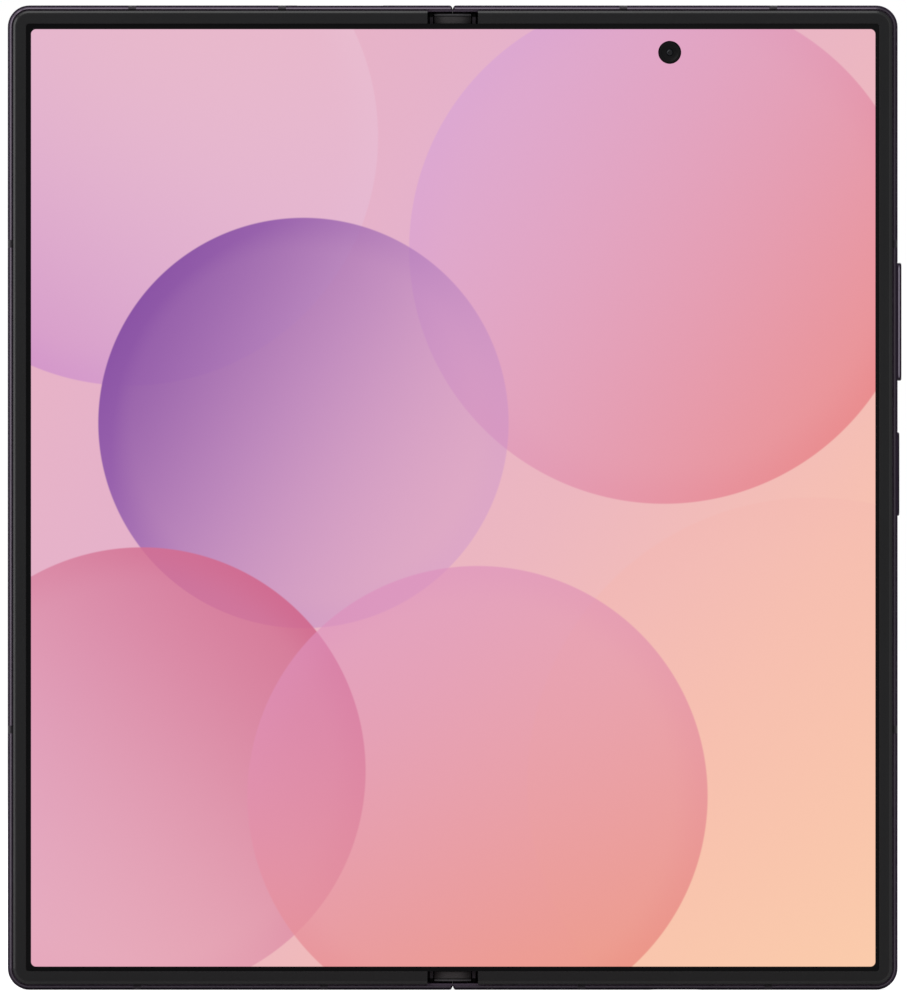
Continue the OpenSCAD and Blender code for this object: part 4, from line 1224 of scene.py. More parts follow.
@dataclass(frozen=True)
class Picture(Finish):
    """Lit screen: translucent discs over a slow change of colour, inside a black border.

    Only its front is lit, in front of face_w. Its edges and its back are dark.
    """

    face_w: float = 3.86
    lit_half: Point = (67.89, 75.37)
    lit_middle: Point = (0.084, -0.05)
    corner: float = 0.8
    strength: float = 0.985
    slope: Point = (0.8, -0.62)
    slope_span: Point = (-85.0, 95.0)
    stops: tuple[tuple[float, str], ...] = (
        (0.0, "#e9b4c6"), (0.3, "#e6b2cb"), (0.55, "#edb7c0"), (0.78, "#f8c1b1"), (1.0, "#fdc8a6"),
    )
    discs: tuple[Disc, ...] = ()

    def build(self) -> bpy.types.Material:
        """Makes the lit screen's material.

        Returns:
            The material.
        """
        g = Graph(self.name)
        u, v, w = g.axes(REST_PLACE)
        picture = self.ground(g, u, v)
        for disc in self.discs:
            picture = self.lay(g, u, v, disc, picture)
        middle = [g.calc("SUBTRACT", x, m) for x, m in zip((u, v), self.lit_middle)]
        lit = g.past(g.within(*middle, self.lit_half, self.corner), 0.0)
        lit = g.calc("MULTIPLY", lit, g.past(w, self.face_w, 0.02))
        light = g.blend(lit, tint("#000000"), picture)
        return g.surface(Base_Color=tint(self.colour), Roughness=0.16, Specular_IOR_Level=0.05,
                         Emission_Color=light, Emission_Strength=self.strength)

    def ground(self, g: Graph, u: Socket, v: Socket) -> Socket:
        """The picture's slow change of colour from the upper left to the lower right.

        Args:
            g: Tree under construction.
            u: Place across.
            v: Place along.

        Returns:
            The colour.
        """
        slope = g.calc("MULTIPLY_ADD", v, self.slope[1], g.calc("MULTIPLY", u, self.slope[0]))
        ramp = g.add("ShaderNodeValToRGB", {0: g.spread(slope, *self.slope_span)})
        while len(ramp.color_ramp.elements) < len(self.stops):
            ramp.color_ramp.elements.new(0.5)
        for element, (at, code) in zip(ramp.color_ramp.elements, self.stops):
            element.position, element.color = at, tint(code)
        return ramp.outputs[0]

    @staticmethod
    def lay(g: Graph, u: Socket, v: Socket, disc: Disc, under: Socket) -> Socket:
        """Lays a disc on the picture.

        Args:
            g: Tree under construction.
            u: Place across.
            v: Place along.
            disc: The disc.
            under: The picture so far.

        Returns:
            The picture with the disc.
        """
        du = g.calc("SUBTRACT", u, disc.centre[0])
        dv = g.calc("SUBTRACT", v, disc.centre[1])
        turned = g.calc("MULTIPLY_ADD", du, math.cos(disc.turn), g.calc("MULTIPLY", dv, math.sin(disc.turn)))
        along = g.calc("DIVIDE", turned, disc.radius)
        reach = g.calc("DIVIDE", g.reach(u, v, disc.centre), disc.radius)
        inside = g.before(reach, 1.0, 0.12 / disc.radius)
        shade = g.spread(along, -1.0, 1.0, *disc.strength, smooth=True)
        rim = g.spread(reach, 0.82, 1.0, 0.0, 0.1, smooth=True)
        share = g.calc("MULTIPLY", inside, g.calc("ADD", shade, rim), clamp=True)
        return g.blend(share, under, g.blend(g.spread(along, -1.0, 1.0), tint(disc.near), tint(disc.far)))


FRAME_METAL = FrameMetal("frame_satin_metal", "#2c262f")
ISLAND_METAL = Metal("island_satin_metal", "#3a343e", 0.3, 0.1)
SPINE_METAL = Metal("spine_satin_metal", "#332d36", 0.3, 0.1, Brush.ALONG_FOLD, 2.75)
KEY_METAL = KeyMetal("key_satin_metal", "#221c26")
HINGE_METAL = Metal("hinge_drawn_steel", "#8d8a90", 0.3, 0.12, Brush.ALONG_FOLD)
PLATE_METAL = Metal("thin_plate_steel", "#7b787e", 0.38, 0.15, Brush.ACROSS)
CAN_METAL = Metal("tinned_can_metal", "#a9a9ac", 0.35, 0.2)
MAGNET_METAL = Metal("nickel_magnet", "#8f8f93", 0.25, 0.3)
SCREW_METAL = Metal("black_nickel_screw", "#6f6c72", 0.3, 0.08)
COPPER = Metal("drawn_copper", "#b9764e", 0.35, 0.2, Brush.ACROSS)
GOLD = Metal("gold_contact", "#d4a75a", 0.25, 0.08)
BREAK_PLASTIC = Polymer("antenna_break_polymer", "#211c23", 0.5, 0.15)
BEZEL_PLASTIC = Bezel("bezel_soft_polymer", "#161617")
CAP_PLASTIC = EndCap("end_cap_polymer", "#282627")
SEAL_RUBBER = Polymer("seam_seal_rubber", "#131013", 0.7, 0.1)
MODULE_BLACK = Polymer("moulded_black_module", "#1f1f22", 0.45, 0.3)
CAMERA_BLACK = Polymer("camera_housing_black", "#060607", 0.42, 0.07, 0.1)
MESH_FABRIC = Metal("woven_wire", "#3a383c", 0.45, 0.05)
BACK_GLASS = Glass("frosted_back_glass", "#2b282e", 0.34, 1.0)
COVER_GLASS = ScreenGlass("cover_screen_glass", "#07070a")
PANEL = Glass("cover_panel_off", "#0b0b0f", 0.12)
CIRCUIT = Circuit("green_solder_mask", "#1c5a41")
BATTERY_FOIL = Foil("battery_wrap", "#2b2b30")
KEY_FLEX = FlexFilm("key_flex_film", "#8c5524")
CABLE_FILM = FlexFilm("hinge_flex_film", "#8c5524", attribute=REST_PLACE)
FERRITE = Polymer("ferrite_sheet", "#2d2b2f", 0.6, 0.3, 0.4)


# ---- Sub-assemblies ----


class Side(Enum):
    """A half of the phone: its body and the direction it lies in."""

    LEFT = ("left_half", -1)
    RIGHT = ("right_half", 1)

    @property
    def body(self) -> str:
        """Name of the half's body."""
        return self.value[0]

    @property
    def sign(self) -> int:
        """One for the right half, minus one for the left half."""
        return self.value[1]


def dress(finish: Finish, *nodes: str) -> None:
    """Gives CAD nodes a finish.

    Args:
        finish: The finish.
        nodes: Names of the nodes.
    """
    for name in nodes:
        for material_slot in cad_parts[name].material_slots:
            material_slot.material = finish.material
    LOG.info("%s dresses %s", finish.name, ", ".join(nodes))


def fit(obj: bpy.types.Object, body: str, material_slot: str, *nodes: str) -> bpy.types.Object:
    """Lets a piece ride on a body and stand for CAD nodes.

    Args:
        obj: The piece.
        body: Body it moves with.
        material_slot: Not used.
        nodes: CAD nodes that it replaces.

    Returns:
        The piece.
    """
    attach(obj, body)
    if nodes:
        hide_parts(*nodes)
    LOG.info("piece %s rides on %s, %d faces", obj.name, body, len(obj.data.polygons))
    return obj


@dataclass
class FoldingScreen:
    """The large screen, in two halves, each cut into thin strips across the band next to the fold where the
    real screen bends.
    """

    top: float = 3.9
    bottom: float = 3.35
    half_w: float = 70.0
    half_h: float = 77.6
    window: Point = (4.07, 76.19)
    corner: float = 1.9
    bend: float = 4.0
    bend_steps: int = 20
    hole: Outline = field(default_factory=lambda: circle(SELFIE, 1.85, 16))
    discs: tuple[Disc, ...] = (
        Disc((-52, 58), 40, "#f2d6e4", "#cf8fcb", -2.2, (0.15, 0.7)),
        Disc((34, 40), 41, "#d8a2d6", "#ea8a8c", -0.6, (0.55, 0.85)),
        Disc((-24, 12), 33, "#cc92cc", "#8a52a5", 2.6, (0.35, 0.95)),
        Disc((58, -46), 46, "#f4b6b0", "#fdd0ab", -1.1, (0.3, 0.9)),
        Disc((-50, -44), 36, "#d0648a", "#e59bb4", -2.4, (0.8, 0.35)),
        Disc((4, -48), 37, "#dd8fbd", "#ec9080", -1.2, (0.55, 0.8)),
    )

    def outline(self, side: Side) -> Outline:
        """Outline of one half, with the notch at the hinge's windows.

        Args:
            side: The half.

        Returns:
            The outline, which isn't inset.
        """
        u0, v0 = self.window
        outer = outer_part(rounded((0, 0), 2 * self.half_w, 2 * self.half_h, self.corner, 6)(0))
        points = [(0, -v0), (u0, -v0), (u0, -self.half_h), *outer, (u0, self.half_h), (u0, v0), (0, v0)]
        return lambda inset: [(side.sign * u, v) for u, v in points]

    def half(self, side: Side, picture: Finish) -> None:
        """Builds one half of the screen.

        Args:
            side: The half.
            picture: The lit screen's finish.
        """
        holes = [self.hole] if side is Side.RIGHT else []
        bm = plate(self.outline(side), holes, [(0, self.bottom), (0, self.top)])
        for i in range(1, self.bend_steps + 1):
            u = side.sign * self.bend * i / self.bend_steps
            cut = [*bm.verts, *bm.edges, *bm.faces]
            bmesh.ops.bisect_plane(bm, geom=cut, plane_co=spot(u, 0, 0), plane_no=(1, 0, 0))
        bmesh.ops.recalc_face_normals(bm, faces=bm.faces)
        obj = piece(f"screen_{side.name.lower()}", bm, picture.material)
        keep_rest_place(obj)
        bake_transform(obj)
        nodes = {Side.LEFT: ("display_left", "display_fold_section"), Side.RIGHT: ("display_right",)}[side]
        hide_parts(*nodes)
        LOG.info("piece %s bends between %s and hinge_spine", obj.name, side.body)

    def build(self) -> None:
        """Builds both halves."""
        picture = Picture("lit_screen_picture", "#020203", discs=self.discs)
        for side in Side:
            self.half(side, picture)


@dataclass
class FlexCables:
    """The two cables that cross the hinge, each in two halves, one on either side of the fold, where the real
    cables bend.
    """

    path: tuple[Point, ...] = (
        (11, 2.45), (2.35, 2.45), (1.75, 2.25), (1.35, 1.75), (0.95, 1.4), (0.6, 1.27), (0, 1.27),
    )
    thickness: float = 0.15
    width: float = 12.0
    places: tuple[float, ...] = (-14.0, 14.0)
    bend: Point = (2.3, 0.6)
    bend_w: float = 2.0

    def half(self, side: Side) -> None:
        """Builds the halves of both cables on one side.

        Args:
            side: The half of the phone.
        """
        bm = bmesh.new()
        for middle in self.places:
            rows = []
            for rise in (0.0, self.thickness):
                for v in (middle - self.width / 2, middle + self.width / 2):
                    rows.append([bm.verts.new(spot(side.sign * u, v, w + rise)) for u, w in self.path])
            for a, b in ((0, 1), (1, 3), (3, 2), (2, 0)):
                for i in range(len(self.path) - 1):
                    bm.faces.new((rows[a][i], rows[a][i + 1], rows[b][i + 1], rows[b][i]))
            for i in (0, -1):
                bm.faces.new((rows[0][i], rows[1][i], rows[3][i], rows[2][i]))
        bmesh.ops.recalc_face_normals(bm, faces=bm.faces)
        obj = piece(f"flex_cables_{side.name.lower()}", bm, CABLE_FILM.material)
        keep_rest_place(obj)
        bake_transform(obj)
        if side is Side.LEFT:
            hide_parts("hinge_flex_cables")
        LOG.info("piece %s bends between %s and hinge_spine", obj.name, side.body)

    def build(self) -> None:
        """Builds the cables."""
        for side in Side:
            self.half(side)


@dataclass
class SelfieCamera:
    """The camera in the screen's hole."""

    centre: Point = SELFIE
    housing_w: Point = (1.0, 2.5)
    foot: float = 2.45
    barrel_r: float = 1.73
    step_r: float = 0.95
    mouth_r: float = 0.62
    lens_r: float = 0.6
    top: float = 3.85

    def build(self) -> None:
        """Builds the housing, the barrel's stepped mouth and the lens."""
        r, w = self.barrel_r, self.top
        mouth = [(0, self.foot), (r, self.foot), (r, w - 0.04), (r - 0.04, w), (r - 0.3, w),
                 (r - 0.38, w - 0.06), (self.step_r, w - 0.14), (self.step_r, w - 0.2),
                 (self.mouth_r, w - 0.24), (self.mouth_r, w - 0.3), (0, w - 0.3)]
        body = merged(housing(self.centre, *self.housing_w), lathe(mouth, self.centre, 64))
        obj = piece("selfie_housing", body, CAMERA_BLACK.material)
        fit(obj, "right_half", "camera_black", "selfie_camera")
        glass = Lens("selfie_lens_glass", "#0c0f14", centre=self.centre, radius=self.lens_r, gloss=0.15)
        bulge = dome(self.lens_r, w - 0.46, 0.44, -0.1)
        fit(piece("selfie_lens", lathe(bulge, self.centre, 48), glass.material), "right_half", "lens_glass")


@dataclass
class RearCameras:
    """The raised island with its three cameras and the flash."""

    middle: Point = ISLAND
    width: float = 18.4
    height: float = 50.0
    edge: float = 0.45
    rise: float = 1.4
    seat: float = 0.47
    flange: float = 0.8
    flange_t: float = 0.2
    lap: float = 0.3
    lens_pitch: float = 15.2
    bore_r: float = 5.4
    ring_r: float = 6.6
    ring_rise: float = 1.0
    glass_r: float = 5.8
    barrels: tuple[float, ...] = (3.8, 4.2, 3.4)
    mouth_top: float = -1.86
    mouth_depth: float = 0.72
    mouth_foot: float = -0.9
    lens_edge: float = -1.16
    flash: Point = (51.4, 51.8)
    flash_r: float = 1.1
    flash_flange: float = 0.5
    flash_back: float = 0.8

    @property
    def centres(self) -> tuple[Point, ...]:
        """Middle of each camera, from the lowest up."""
        return tuple((self.middle[0], self.middle[1] + i * self.lens_pitch) for i in (-1, 0, 1))

    def island(self) -> None:
        """Builds the island's plate with a rolled edge."""
        top, seat, behind = -self.rise, self.seat, self.seat + self.flange_t
        outer = rounded(self.middle, self.width, self.height, self.width / 2, 24)
        holes = [circle(centre, self.bore_r, 16) for centre in self.centres]
        holes.append(circle(self.flash, self.flash_r + 0.05, 10))
        levels = [*reversed(rolled(self.edge, top, 1)), (0, seat)]
        body = plate(outer, holes, levels, [(0.0, top), (0.0, seat)])
        width, height = self.width - 2 * self.lap, self.height - 2 * self.lap
        inner = rounded(self.middle, width, height, self.width / 2 - self.lap, 24)
        flange = plate(outer, [inner], [(-self.flange, seat), (-self.flange, behind)],
                       [(0.0, seat), (0.0, behind)])
        obj = piece("camera_island_plate", merged(body, flange), ISLAND_METAL.material)
        fit(obj, "right_half", "frame_metal", "camera_island")

    def rings(self) -> None:
        """Builds the turned rings round the lens covers."""
        r, inner_r, foot = self.ring_r, self.ring_r - 1.18, -self.rise
        top, seat = foot - self.ring_rise, foot - 0.5
        section = [(r, foot), (r, top + 0.28), (r - 0.06, top + 0.12), (r - 0.22, top), (r - 0.62, top),
                   (r - 0.75, top + 0.12), (r - 0.78, seat), (inner_r, seat), (inner_r, foot)]
        metal = Turned("turned_lens_ring", "#77717a", centres=self.centres)
        obj = piece("lens_rings", merged(*(lathe(section, c, 96) for c in self.centres)), metal.material)
        fit(obj, "right_half", "lens_ring", "camera_lens_rings")

    def covers(self) -> None:
        """Builds the cover glasses, clear over each barrel and black round it."""
        face, r = 0.05 - self.rise - self.ring_rise, self.glass_r
        section = [(0, face), (r - 0.12, face), (r, face + 0.1), (r, face + 0.4), (0, face + 0.4)]
        clear_r = tuple(barrel - 0.15 for barrel in self.barrels)
        ink = LensCover("lens_cover_glass", LENS_INK, centres=self.centres, clear_r=clear_r)
        obj = piece("lens_covers", merged(*(lathe(section, c, 96) for c in self.centres)), ink.material)
        fit(obj, "right_half", "lens_glass", "camera_lens_covers")

    def stacks(self) -> None:
        """Builds the stepped mouths of the barrels and their lenses."""
        top, depth, foot, steps = self.mouth_top, self.mouth_depth, self.mouth_foot, 4
        mouths = []
        for name, barrel, centre in zip(("tele", "wide", "ultrawide"), self.barrels, self.centres):
            wide, narrow = barrel - 0.3, barrel * 0.52
            section = [(barrel - 0.02, foot), (barrel - 0.02, top)]
            for i in range(steps):
                w, low = top + depth * i / steps, top + depth * (i + 1) / steps
                r = wide + (narrow - wide) * i / (steps - 1)
                section += [(r, w), (r - 0.05, low)]
            section += [(narrow - 0.05, foot)]
            mouths.append(lathe(section, centre, 72))
            glass = Lens(f"{name}_lens_glass", LENS_COAT, centre=centre, radius=narrow)
            bm = lathe(dome(narrow - 0.07, self.lens_edge, -0.5, 0.25, 14), centre, 64)
            fit(piece(f"{name}_lens", bm, glass.material), "right_half", "lens_glass")
        fit(piece("lens_mouths", merged(*mouths), CAMERA_BLACK.material), "right_half", "camera_black")

    def flash_window(self) -> None:
        """Builds the flash window with its ring-shaped prisms."""
        face, r, rings = -self.rise, self.flash_r, 6
        flange_r = r + self.flash_flange
        section = [(0.0, face + 0.02)]
        for i in range(1, rings):
            at = r * i / rings
            section += [(at - 0.015, face), (at, face + 0.07)]
        section += [(r, face), (r, self.seat), (flange_r, self.seat), (flange_r, self.flash_back)]
        section.append((0.0, self.flash_back))
        finish = Diffuser("flash_prisms", "#d9d6cc", centre=self.flash)
        window = piece("flash_prism_window", lathe(section, self.flash, 48), finish.material)
        fit(window, "right_half", "flash", "flash_window")

    def build(self) -> None:
        """Builds the island and all that it carries."""
        self.island()
        self.rings()
        self.covers()
        self.stacks()
        self.flash_window()
        dress(CAMERA_BLACK, "wide_camera_module", "ultrawide_camera_module", "tele_camera_module")


@dataclass
class BackPanes:
    """The cover screen's glass with its camera on the left half, and the frosted glass on the right half."""

    edge: Point = (70.88, 78.48)
    fold_edge: float = 1.25
    corner: float = 2.78
    thickness: float = 0.45
    camera: Point = (-35.8, 71.6)
    window_r: float = 1.75
    housing_w: Point = (1.5, 2.9)
    foot: float = 1.6
    step_r: float = 1.1
    mouth_r: float = 0.75
    island: Point = ISLAND
    island_size: Point = (18.5, 50.1)

    def outline(self, side: Side) -> Outline:
        """Outline of a pane, rounded at its outer corners.

        Args:
            side: The half that it lies on.

        Returns:
            A function from an inset to the outline's points.
        """
        whole = rounded((0, 0), 2 * self.edge[0], 2 * self.edge[1], self.corner, 12)

        def at(inset: float) -> list[Point]:
            """Points of the outline.

            Args:
                inset: How far it lies inside the pane's edge.

            Returns:
                Its points, from the pane's lower end at the fold on.
            """
            inner_u, end_v = self.fold_edge + inset, self.edge[1] - inset
            points = [(inner_u, -end_v), *outer_part(whole(inset)), (inner_u, end_v)]
            return [(side.sign * u, v) for u, v in points]

        return at

    def pane(self, side: Side, hole: Outline, finish: Finish, *nodes: str) -> None:
        """Builds one pane with a softly rounded edge.

        Args:
            side: The half that it lies on.
            hole: Outline of its opening.
            finish: Its finish.
            nodes: CAD nodes that it replaces.
        """
        levels = [(0.3, 0.0), (0.12, 0.03), (0.03, 0.09), (0.0, 0.18), (0.0, self.thickness)]
        bm = plate(self.outline(side), [hole], levels, [(-0.04, 0.0), (0.0, 0.04), (0.0, self.thickness)])
        slot_name = {Side.LEFT: "cover_glass", Side.RIGHT: "back_glass"}[side]
        fit(piece(f"{side.name.lower()}_back_pane", bm, finish.material), side.body, slot_name, *nodes)

    def cover_camera(self) -> None:
        """Builds the cover screen's camera behind its clear window."""
        t, r, centre = self.thickness, self.window_r, self.camera
        section = [(0, 0.01), (r - 0.05, 0.01), (r - 0.02, 0.04), (r - 0.02, t - 0.02), (0, t - 0.02)]
        ink = LensCover("cover_camera_window", LENS_INK, centres=(centre,), clear_r=(r - 0.35,))
        window = piece("cover_camera_window", lathe(section, centre, 64), ink.material)
        fit(window, "left_half", "lens_glass")
        foot, step_r, mouth_r = self.foot, self.step_r, self.mouth_r
        mouth = [(0, foot), (r, foot), (r, t + 0.05), (r - 0.35, t + 0.05), (step_r, t + 0.16),
                 (step_r, t + 0.22), (mouth_r, t + 0.28), (mouth_r, t + 0.34), (0, t + 0.34)]
        body = merged(housing(centre, *self.housing_w), lathe(mouth, centre, 64))
        obj = piece("cover_camera_housing", body, CAMERA_BLACK.material)
        fit(obj, "left_half", "camera_black", "cover_camera")
        glass = Lens("cover_lens_glass", LENS_COAT, centre=centre, radius=0.72)
        lens = piece("cover_camera_lens", lathe(dome(0.7, t + 0.3, -0.22, 0.03), centre, 48), glass.material)
        fit(lens, "left_half", "lens_glass")

    def build(self) -> None:
        """Builds both panes and the camera."""
        width, height = self.island_size
        opening = rounded(self.island, width, height, width / 2, 24)
        self.pane(Side.LEFT, circle(self.camera, self.window_r, 16), COVER_GLASS, "cover_glass")
        self.pane(Side.RIGHT, opening, BACK_GLASS, "right_back_glass")
        self.cover_camera()
        dress(PANEL, "cover_display_panel")


@dataclass
class KeyCap:
    """A key on the right edge: a rounded cap on a wider foot inside the frame."""

    name: str
    middle_v: float
    length: float
    reach: float
    middle_w: float = 2.05
    width: float = 2.0
    root: float = 70.9
    foot: Point = (69.55, 70.5)
    foot_extra: float = 1.4
    edge: float = 0.24

    def block(self, length: float, width: float, radius: float, steps: int,
              levels: Levels) -> bmesh.types.BMesh:
        """Builds a part of the key round its middle.

        Args:
            length: Its length along the fold.
            width: Its width.
            radius: Its corner radius.
            steps: Segments in each corner.
            levels: Pairs of inset and distance to the right, from its inner end on.

        Returns:
            Its mesh.
        """
        outline = rounded((self.middle_v, self.middle_w), length, width, radius, steps)
        return plate(outline, [], levels, facing=Facing.RIGHT)

    def build(self) -> None:
        """Builds the key's cap, the foot that keeps it in the frame and the stem between them."""
        low, high = self.foot
        crown = rolled(self.edge, self.reach, -1)
        cap = self.block(self.length, self.width, self.width / 2, 12, [(0, self.root), *crown])
        foot = self.block(self.length + self.foot_extra, self.width, 0.3, 6, [(0, low), (0, high)])
        stem = self.block(self.length - 4, self.width * 0.7, 0.3, 6, [(0, high), (0, self.root)])
        obj = piece(f"{self.name}_cap", merged(cap, foot, stem), KEY_METAL.material)
        fit(obj, self.name, "frame_metal", self.name)


@dataclass
class SeamSeals:
    """Rubber strips that close the seam between the halves, past the ends of the hinge."""

    half_width: float = 0.045
    span_v: Point = (77.88, 78.66)
    span_w: Point = (0.5, 3.0)

    def build(self) -> None:
        """Builds both strips on the right half, with rounded edges."""
        strips = []
        for sign in (-1, 1):
            middle = (sign * sum(self.span_v) / 2, sum(self.span_w) / 2)
            outline = rounded(middle, span(self.span_v), span(self.span_w), 0.12, 5)
            levels = [(0.05, -self.half_width), (0, -0.01), (0, 0.12)]
            strips.append(plate(outline, [], levels, facing=Facing.RIGHT))
        fit(piece("seam_seals", merged(*strips), SEAL_RUBBER.material), "right_half", "break_plastic")


@dataclass
class Grille:
    """Woven wire behind a row of sound holes."""

    name: str
    side: Side
    holes: tuple[float, ...]
    radius: float
    depth: float
    wires: int = 7
    wire_r: float = 0.035
    mid_w: float = 2.1

    def build(self) -> None:
        """Builds the woven wire of each hole with Geometry Nodes."""
        first, second = (self.side.sign * u * MM for u in self.holes[:2])
        tree = Repeat(self.name, {
            "Holes": len(self.holes), "Wires": self.wires, "Reach": self.radius * MM,
            "Wire radius": self.wire_r * MM, "First": first, "Step": second - first,
        })
        length = tree.calc("MULTIPLY", tree["Reach"], 2.0)
        gap = tree.calc("DIVIDE", length, tree.calc("SUBTRACT", tree["Wires"], 1))
        start = tree.calc("MULTIPLY", tree["Reach"], -1.0)
        lift = tree.calc("MULTIPLY", tree["Wire radius"], 0.9)
        drop = tree.calc("MULTIPLY", lift, -1.0)
        size = {"Vertices": 6, "Radius": tree["Wire radius"], "Depth": length}
        wire = tree.add("GeometryNodeMeshCylinder", size).outputs[0]
        across = tree.row(tree["Wires"], tree.vector(0.0, start, lift), tree.vector(0.0, gap))
        along = tree.row(tree["Wires"], tree.vector(start, 0.0, drop), tree.vector(gap))
        weave = tree.joined([
            tree.copies(across, wire, Rotation=(0, math.pi / 2, 0)),
            tree.copies(along, wire, Rotation=(math.pi / 2, 0, 0)),
        ])
        place = tree.vector(tree["First"], -self.mid_w * MM, self.depth * MM)
        holes = tree.row(tree["Holes"], place, tree.vector(tree["Step"]))
        obj = tree.bake(tree.copies(holes, weave), MESH_FABRIC.material)
        fit(obj, self.side.body, "shield")


@dataclass
class ChargingSocket:
    """Contacts on the charging socket's tongue."""

    middle: Point = (35.8, 1.9)
    count: int = 12
    pitch: float = 0.5
    pad: tuple[float, float, float] = (0.3, 0.03, 3.9)
    first_v: float = -77.4
    tongue_t: float = 0.7

    def build(self) -> None:
        """Builds the contacts of both faces with Geometry Nodes."""
        middle_u, middle_w = self.middle
        width, thickness, length = self.pad
        tree = Repeat("socket_contacts", {
            "Contacts": self.count, "Pitch": self.pitch * MM, "Pad width": width * MM,
            "Pad thickness": thickness * MM, "Pad length": length * MM, "Tongue": self.tongue_t * MM,
        })
        size = tree.vector(tree["Pad width"], tree["Pad thickness"], tree["Pad length"])
        pad = tree.add("GeometryNodeMeshCube", {"Size": size}).outputs[0]
        half_row = tree.calc("MULTIPLY", tree.calc("SUBTRACT", tree["Contacts"], 1), -0.5)
        x = tree.calc("MULTIPLY_ADD", half_row, tree["Pitch"], middle_u * MM)
        z = (self.first_v + length / 2) * MM
        lift = tree.calc("MULTIPLY", tree.calc("ADD", tree["Tongue"], tree["Pad thickness"]), 0.49)
        faces = []
        for sign in (1.0, -1.0):
            y = tree.calc("MULTIPLY_ADD", lift, sign, -middle_w * MM)
            contacts = tree.row(tree["Contacts"], tree.vector(x, y, z), tree.vector(tree["Pitch"]))
            faces.append(tree.copies(contacts, pad))
        fit(tree.bake(tree.joined(faces), GOLD.material, smooth=False), "right_half", "copper")
        dress(CAN_METAL, "usb_port_shell")
        dress(MODULE_BLACK, "usb_port_tongue")


@dataclass
class ChargingCoil:
    """Flat spiral of wire on its ferrite sheet, under the right back glass."""

    centre: Point = (43.0, -18.0)
    inner_r: float = 9.1
    outer_r: float = 19.9
    turns: int = 24
    wire_r: float = 0.095
    level: float = 0.55
    margin: float = 1.1
    sheet: Point = (0.65, 1.15)

    def build(self) -> None:
        """Builds the winding with Geometry Nodes, and the sheet that it lies on."""
        tree = Repeat("charging_winding", {
            "Turns": float(self.turns), "Inner radius": self.inner_r * MM, "Outer radius": self.outer_r * MM,
            "Wire radius": self.wire_r * MM,
        })
        spiral = tree.spiral(tree["Turns"], tree["Inner radius"], tree["Outer radius"], 0.0, 48)
        laid = tree.moved(spiral, spot(*self.centre, self.level), LAID_FLAT)
        wire = tree.wire(laid, tree["Wire radius"], 6)
        fit(tree.bake(wire, COPPER.material), "right_half", "copper", "charging_coil")
        side = 2 * (self.outer_r + self.margin)
        low, high = self.sheet
        sheet = plate(rounded(self.centre, side, side, 3.0, 6), [], [(0.05, low), (0, low + 0.05), (0, high)])
        fit(piece("ferrite_sheet", sheet, FERRITE.material), "right_half", "module_black")


@dataclass
class DetentSprings:
    """Small coil springs on the outer gear shafts."""

    places: tuple[float, ...] = (-1.8, 1.8)
    level: float = 2.2
    starts: tuple[float, ...] = (-48.27, 42.33)
    length: float = 5.94
    radius: float = 0.42
    wire_r: float = 0.12
    turns: int = 8

    def build(self) -> None:
        """Builds the four springs with Geometry Nodes."""
        length = self.length - 2 * self.wire_r
        tree = Repeat("spring_coils", {
            "Turns": float(self.turns), "Radius": self.radius * MM, "Wire radius": self.wire_r * MM,
            "Length": length * MM,
        })
        helix = tree.spiral(tree["Turns"], tree["Radius"], tree["Radius"], tree["Length"], 20)
        coil = tree.wire(helix, tree["Wire radius"], 8)
        springs = [tree.moved(coil, spot(u, start + self.wire_r, self.level))
                   for start in self.starts for u in self.places]
        obj = tree.bake(tree.joined(springs), HINGE_METAL.material)
        fit(obj, "hinge_spine", "hinge_metal", "detent_springs")


@dataclass
class BoardParts:
    """Small parts soldered on a board."""

    name: str
    side: Side
    span_u: Point
    span_v: Point
    level: float
    columns: int
    rows: int
    seed: int = 3
    share: float = 0.7
    largest: tuple[float, float, float] = (1.3, 0.7, 0.4)
    least_scale: tuple[float, float, float] = (0.5, 0.4, 0.5)

    def build(self) -> None:
        """Scatters the parts over the board's face with Geometry Nodes."""
        tree = Repeat(self.name, {
            "Seed": self.seed, "Width": span(self.span_u) * MM, "Height": span(self.span_v) * MM,
        })
        sizes = {"Size X": tree["Width"], "Size Y": tree["Height"]}
        sizes.update({"Vertices X": self.columns, "Vertices Y": self.rows})
        grid = tree.add("GeometryNodeMeshGrid", sizes).outputs[0]
        vector_out, choice_out = 0, 3
        limits = {"Min": self.least_scale, "Max": (1.0, 1.0, 1.0), "Seed": tree["Seed"]}
        scale = tree.add("FunctionNodeRandomValue", limits, data_type="FLOAT_VECTOR").outputs[vector_out]
        chance = {"Probability": self.share, "Seed": tree.calc("ADD", tree["Seed"], 1)}
        chosen = tree.add("FunctionNodeRandomValue", chance, data_type="BOOLEAN").outputs[choice_out]
        part = tree.add("GeometryNodeMeshCube", {"Size": Vector(self.largest) * MM}).outputs[0]
        parts = tree.copies(grid, part, Scale=scale, Selection=chosen)
        middle = spot(self.side.sign * sum(self.span_u) / 2, sum(self.span_v) / 2, self.level)
        laid = tree.moved(parts, middle, LAID_FLAT)
        fit(tree.bake(laid, MODULE_BLACK.material, smooth=False), self.side.body, "module_black")


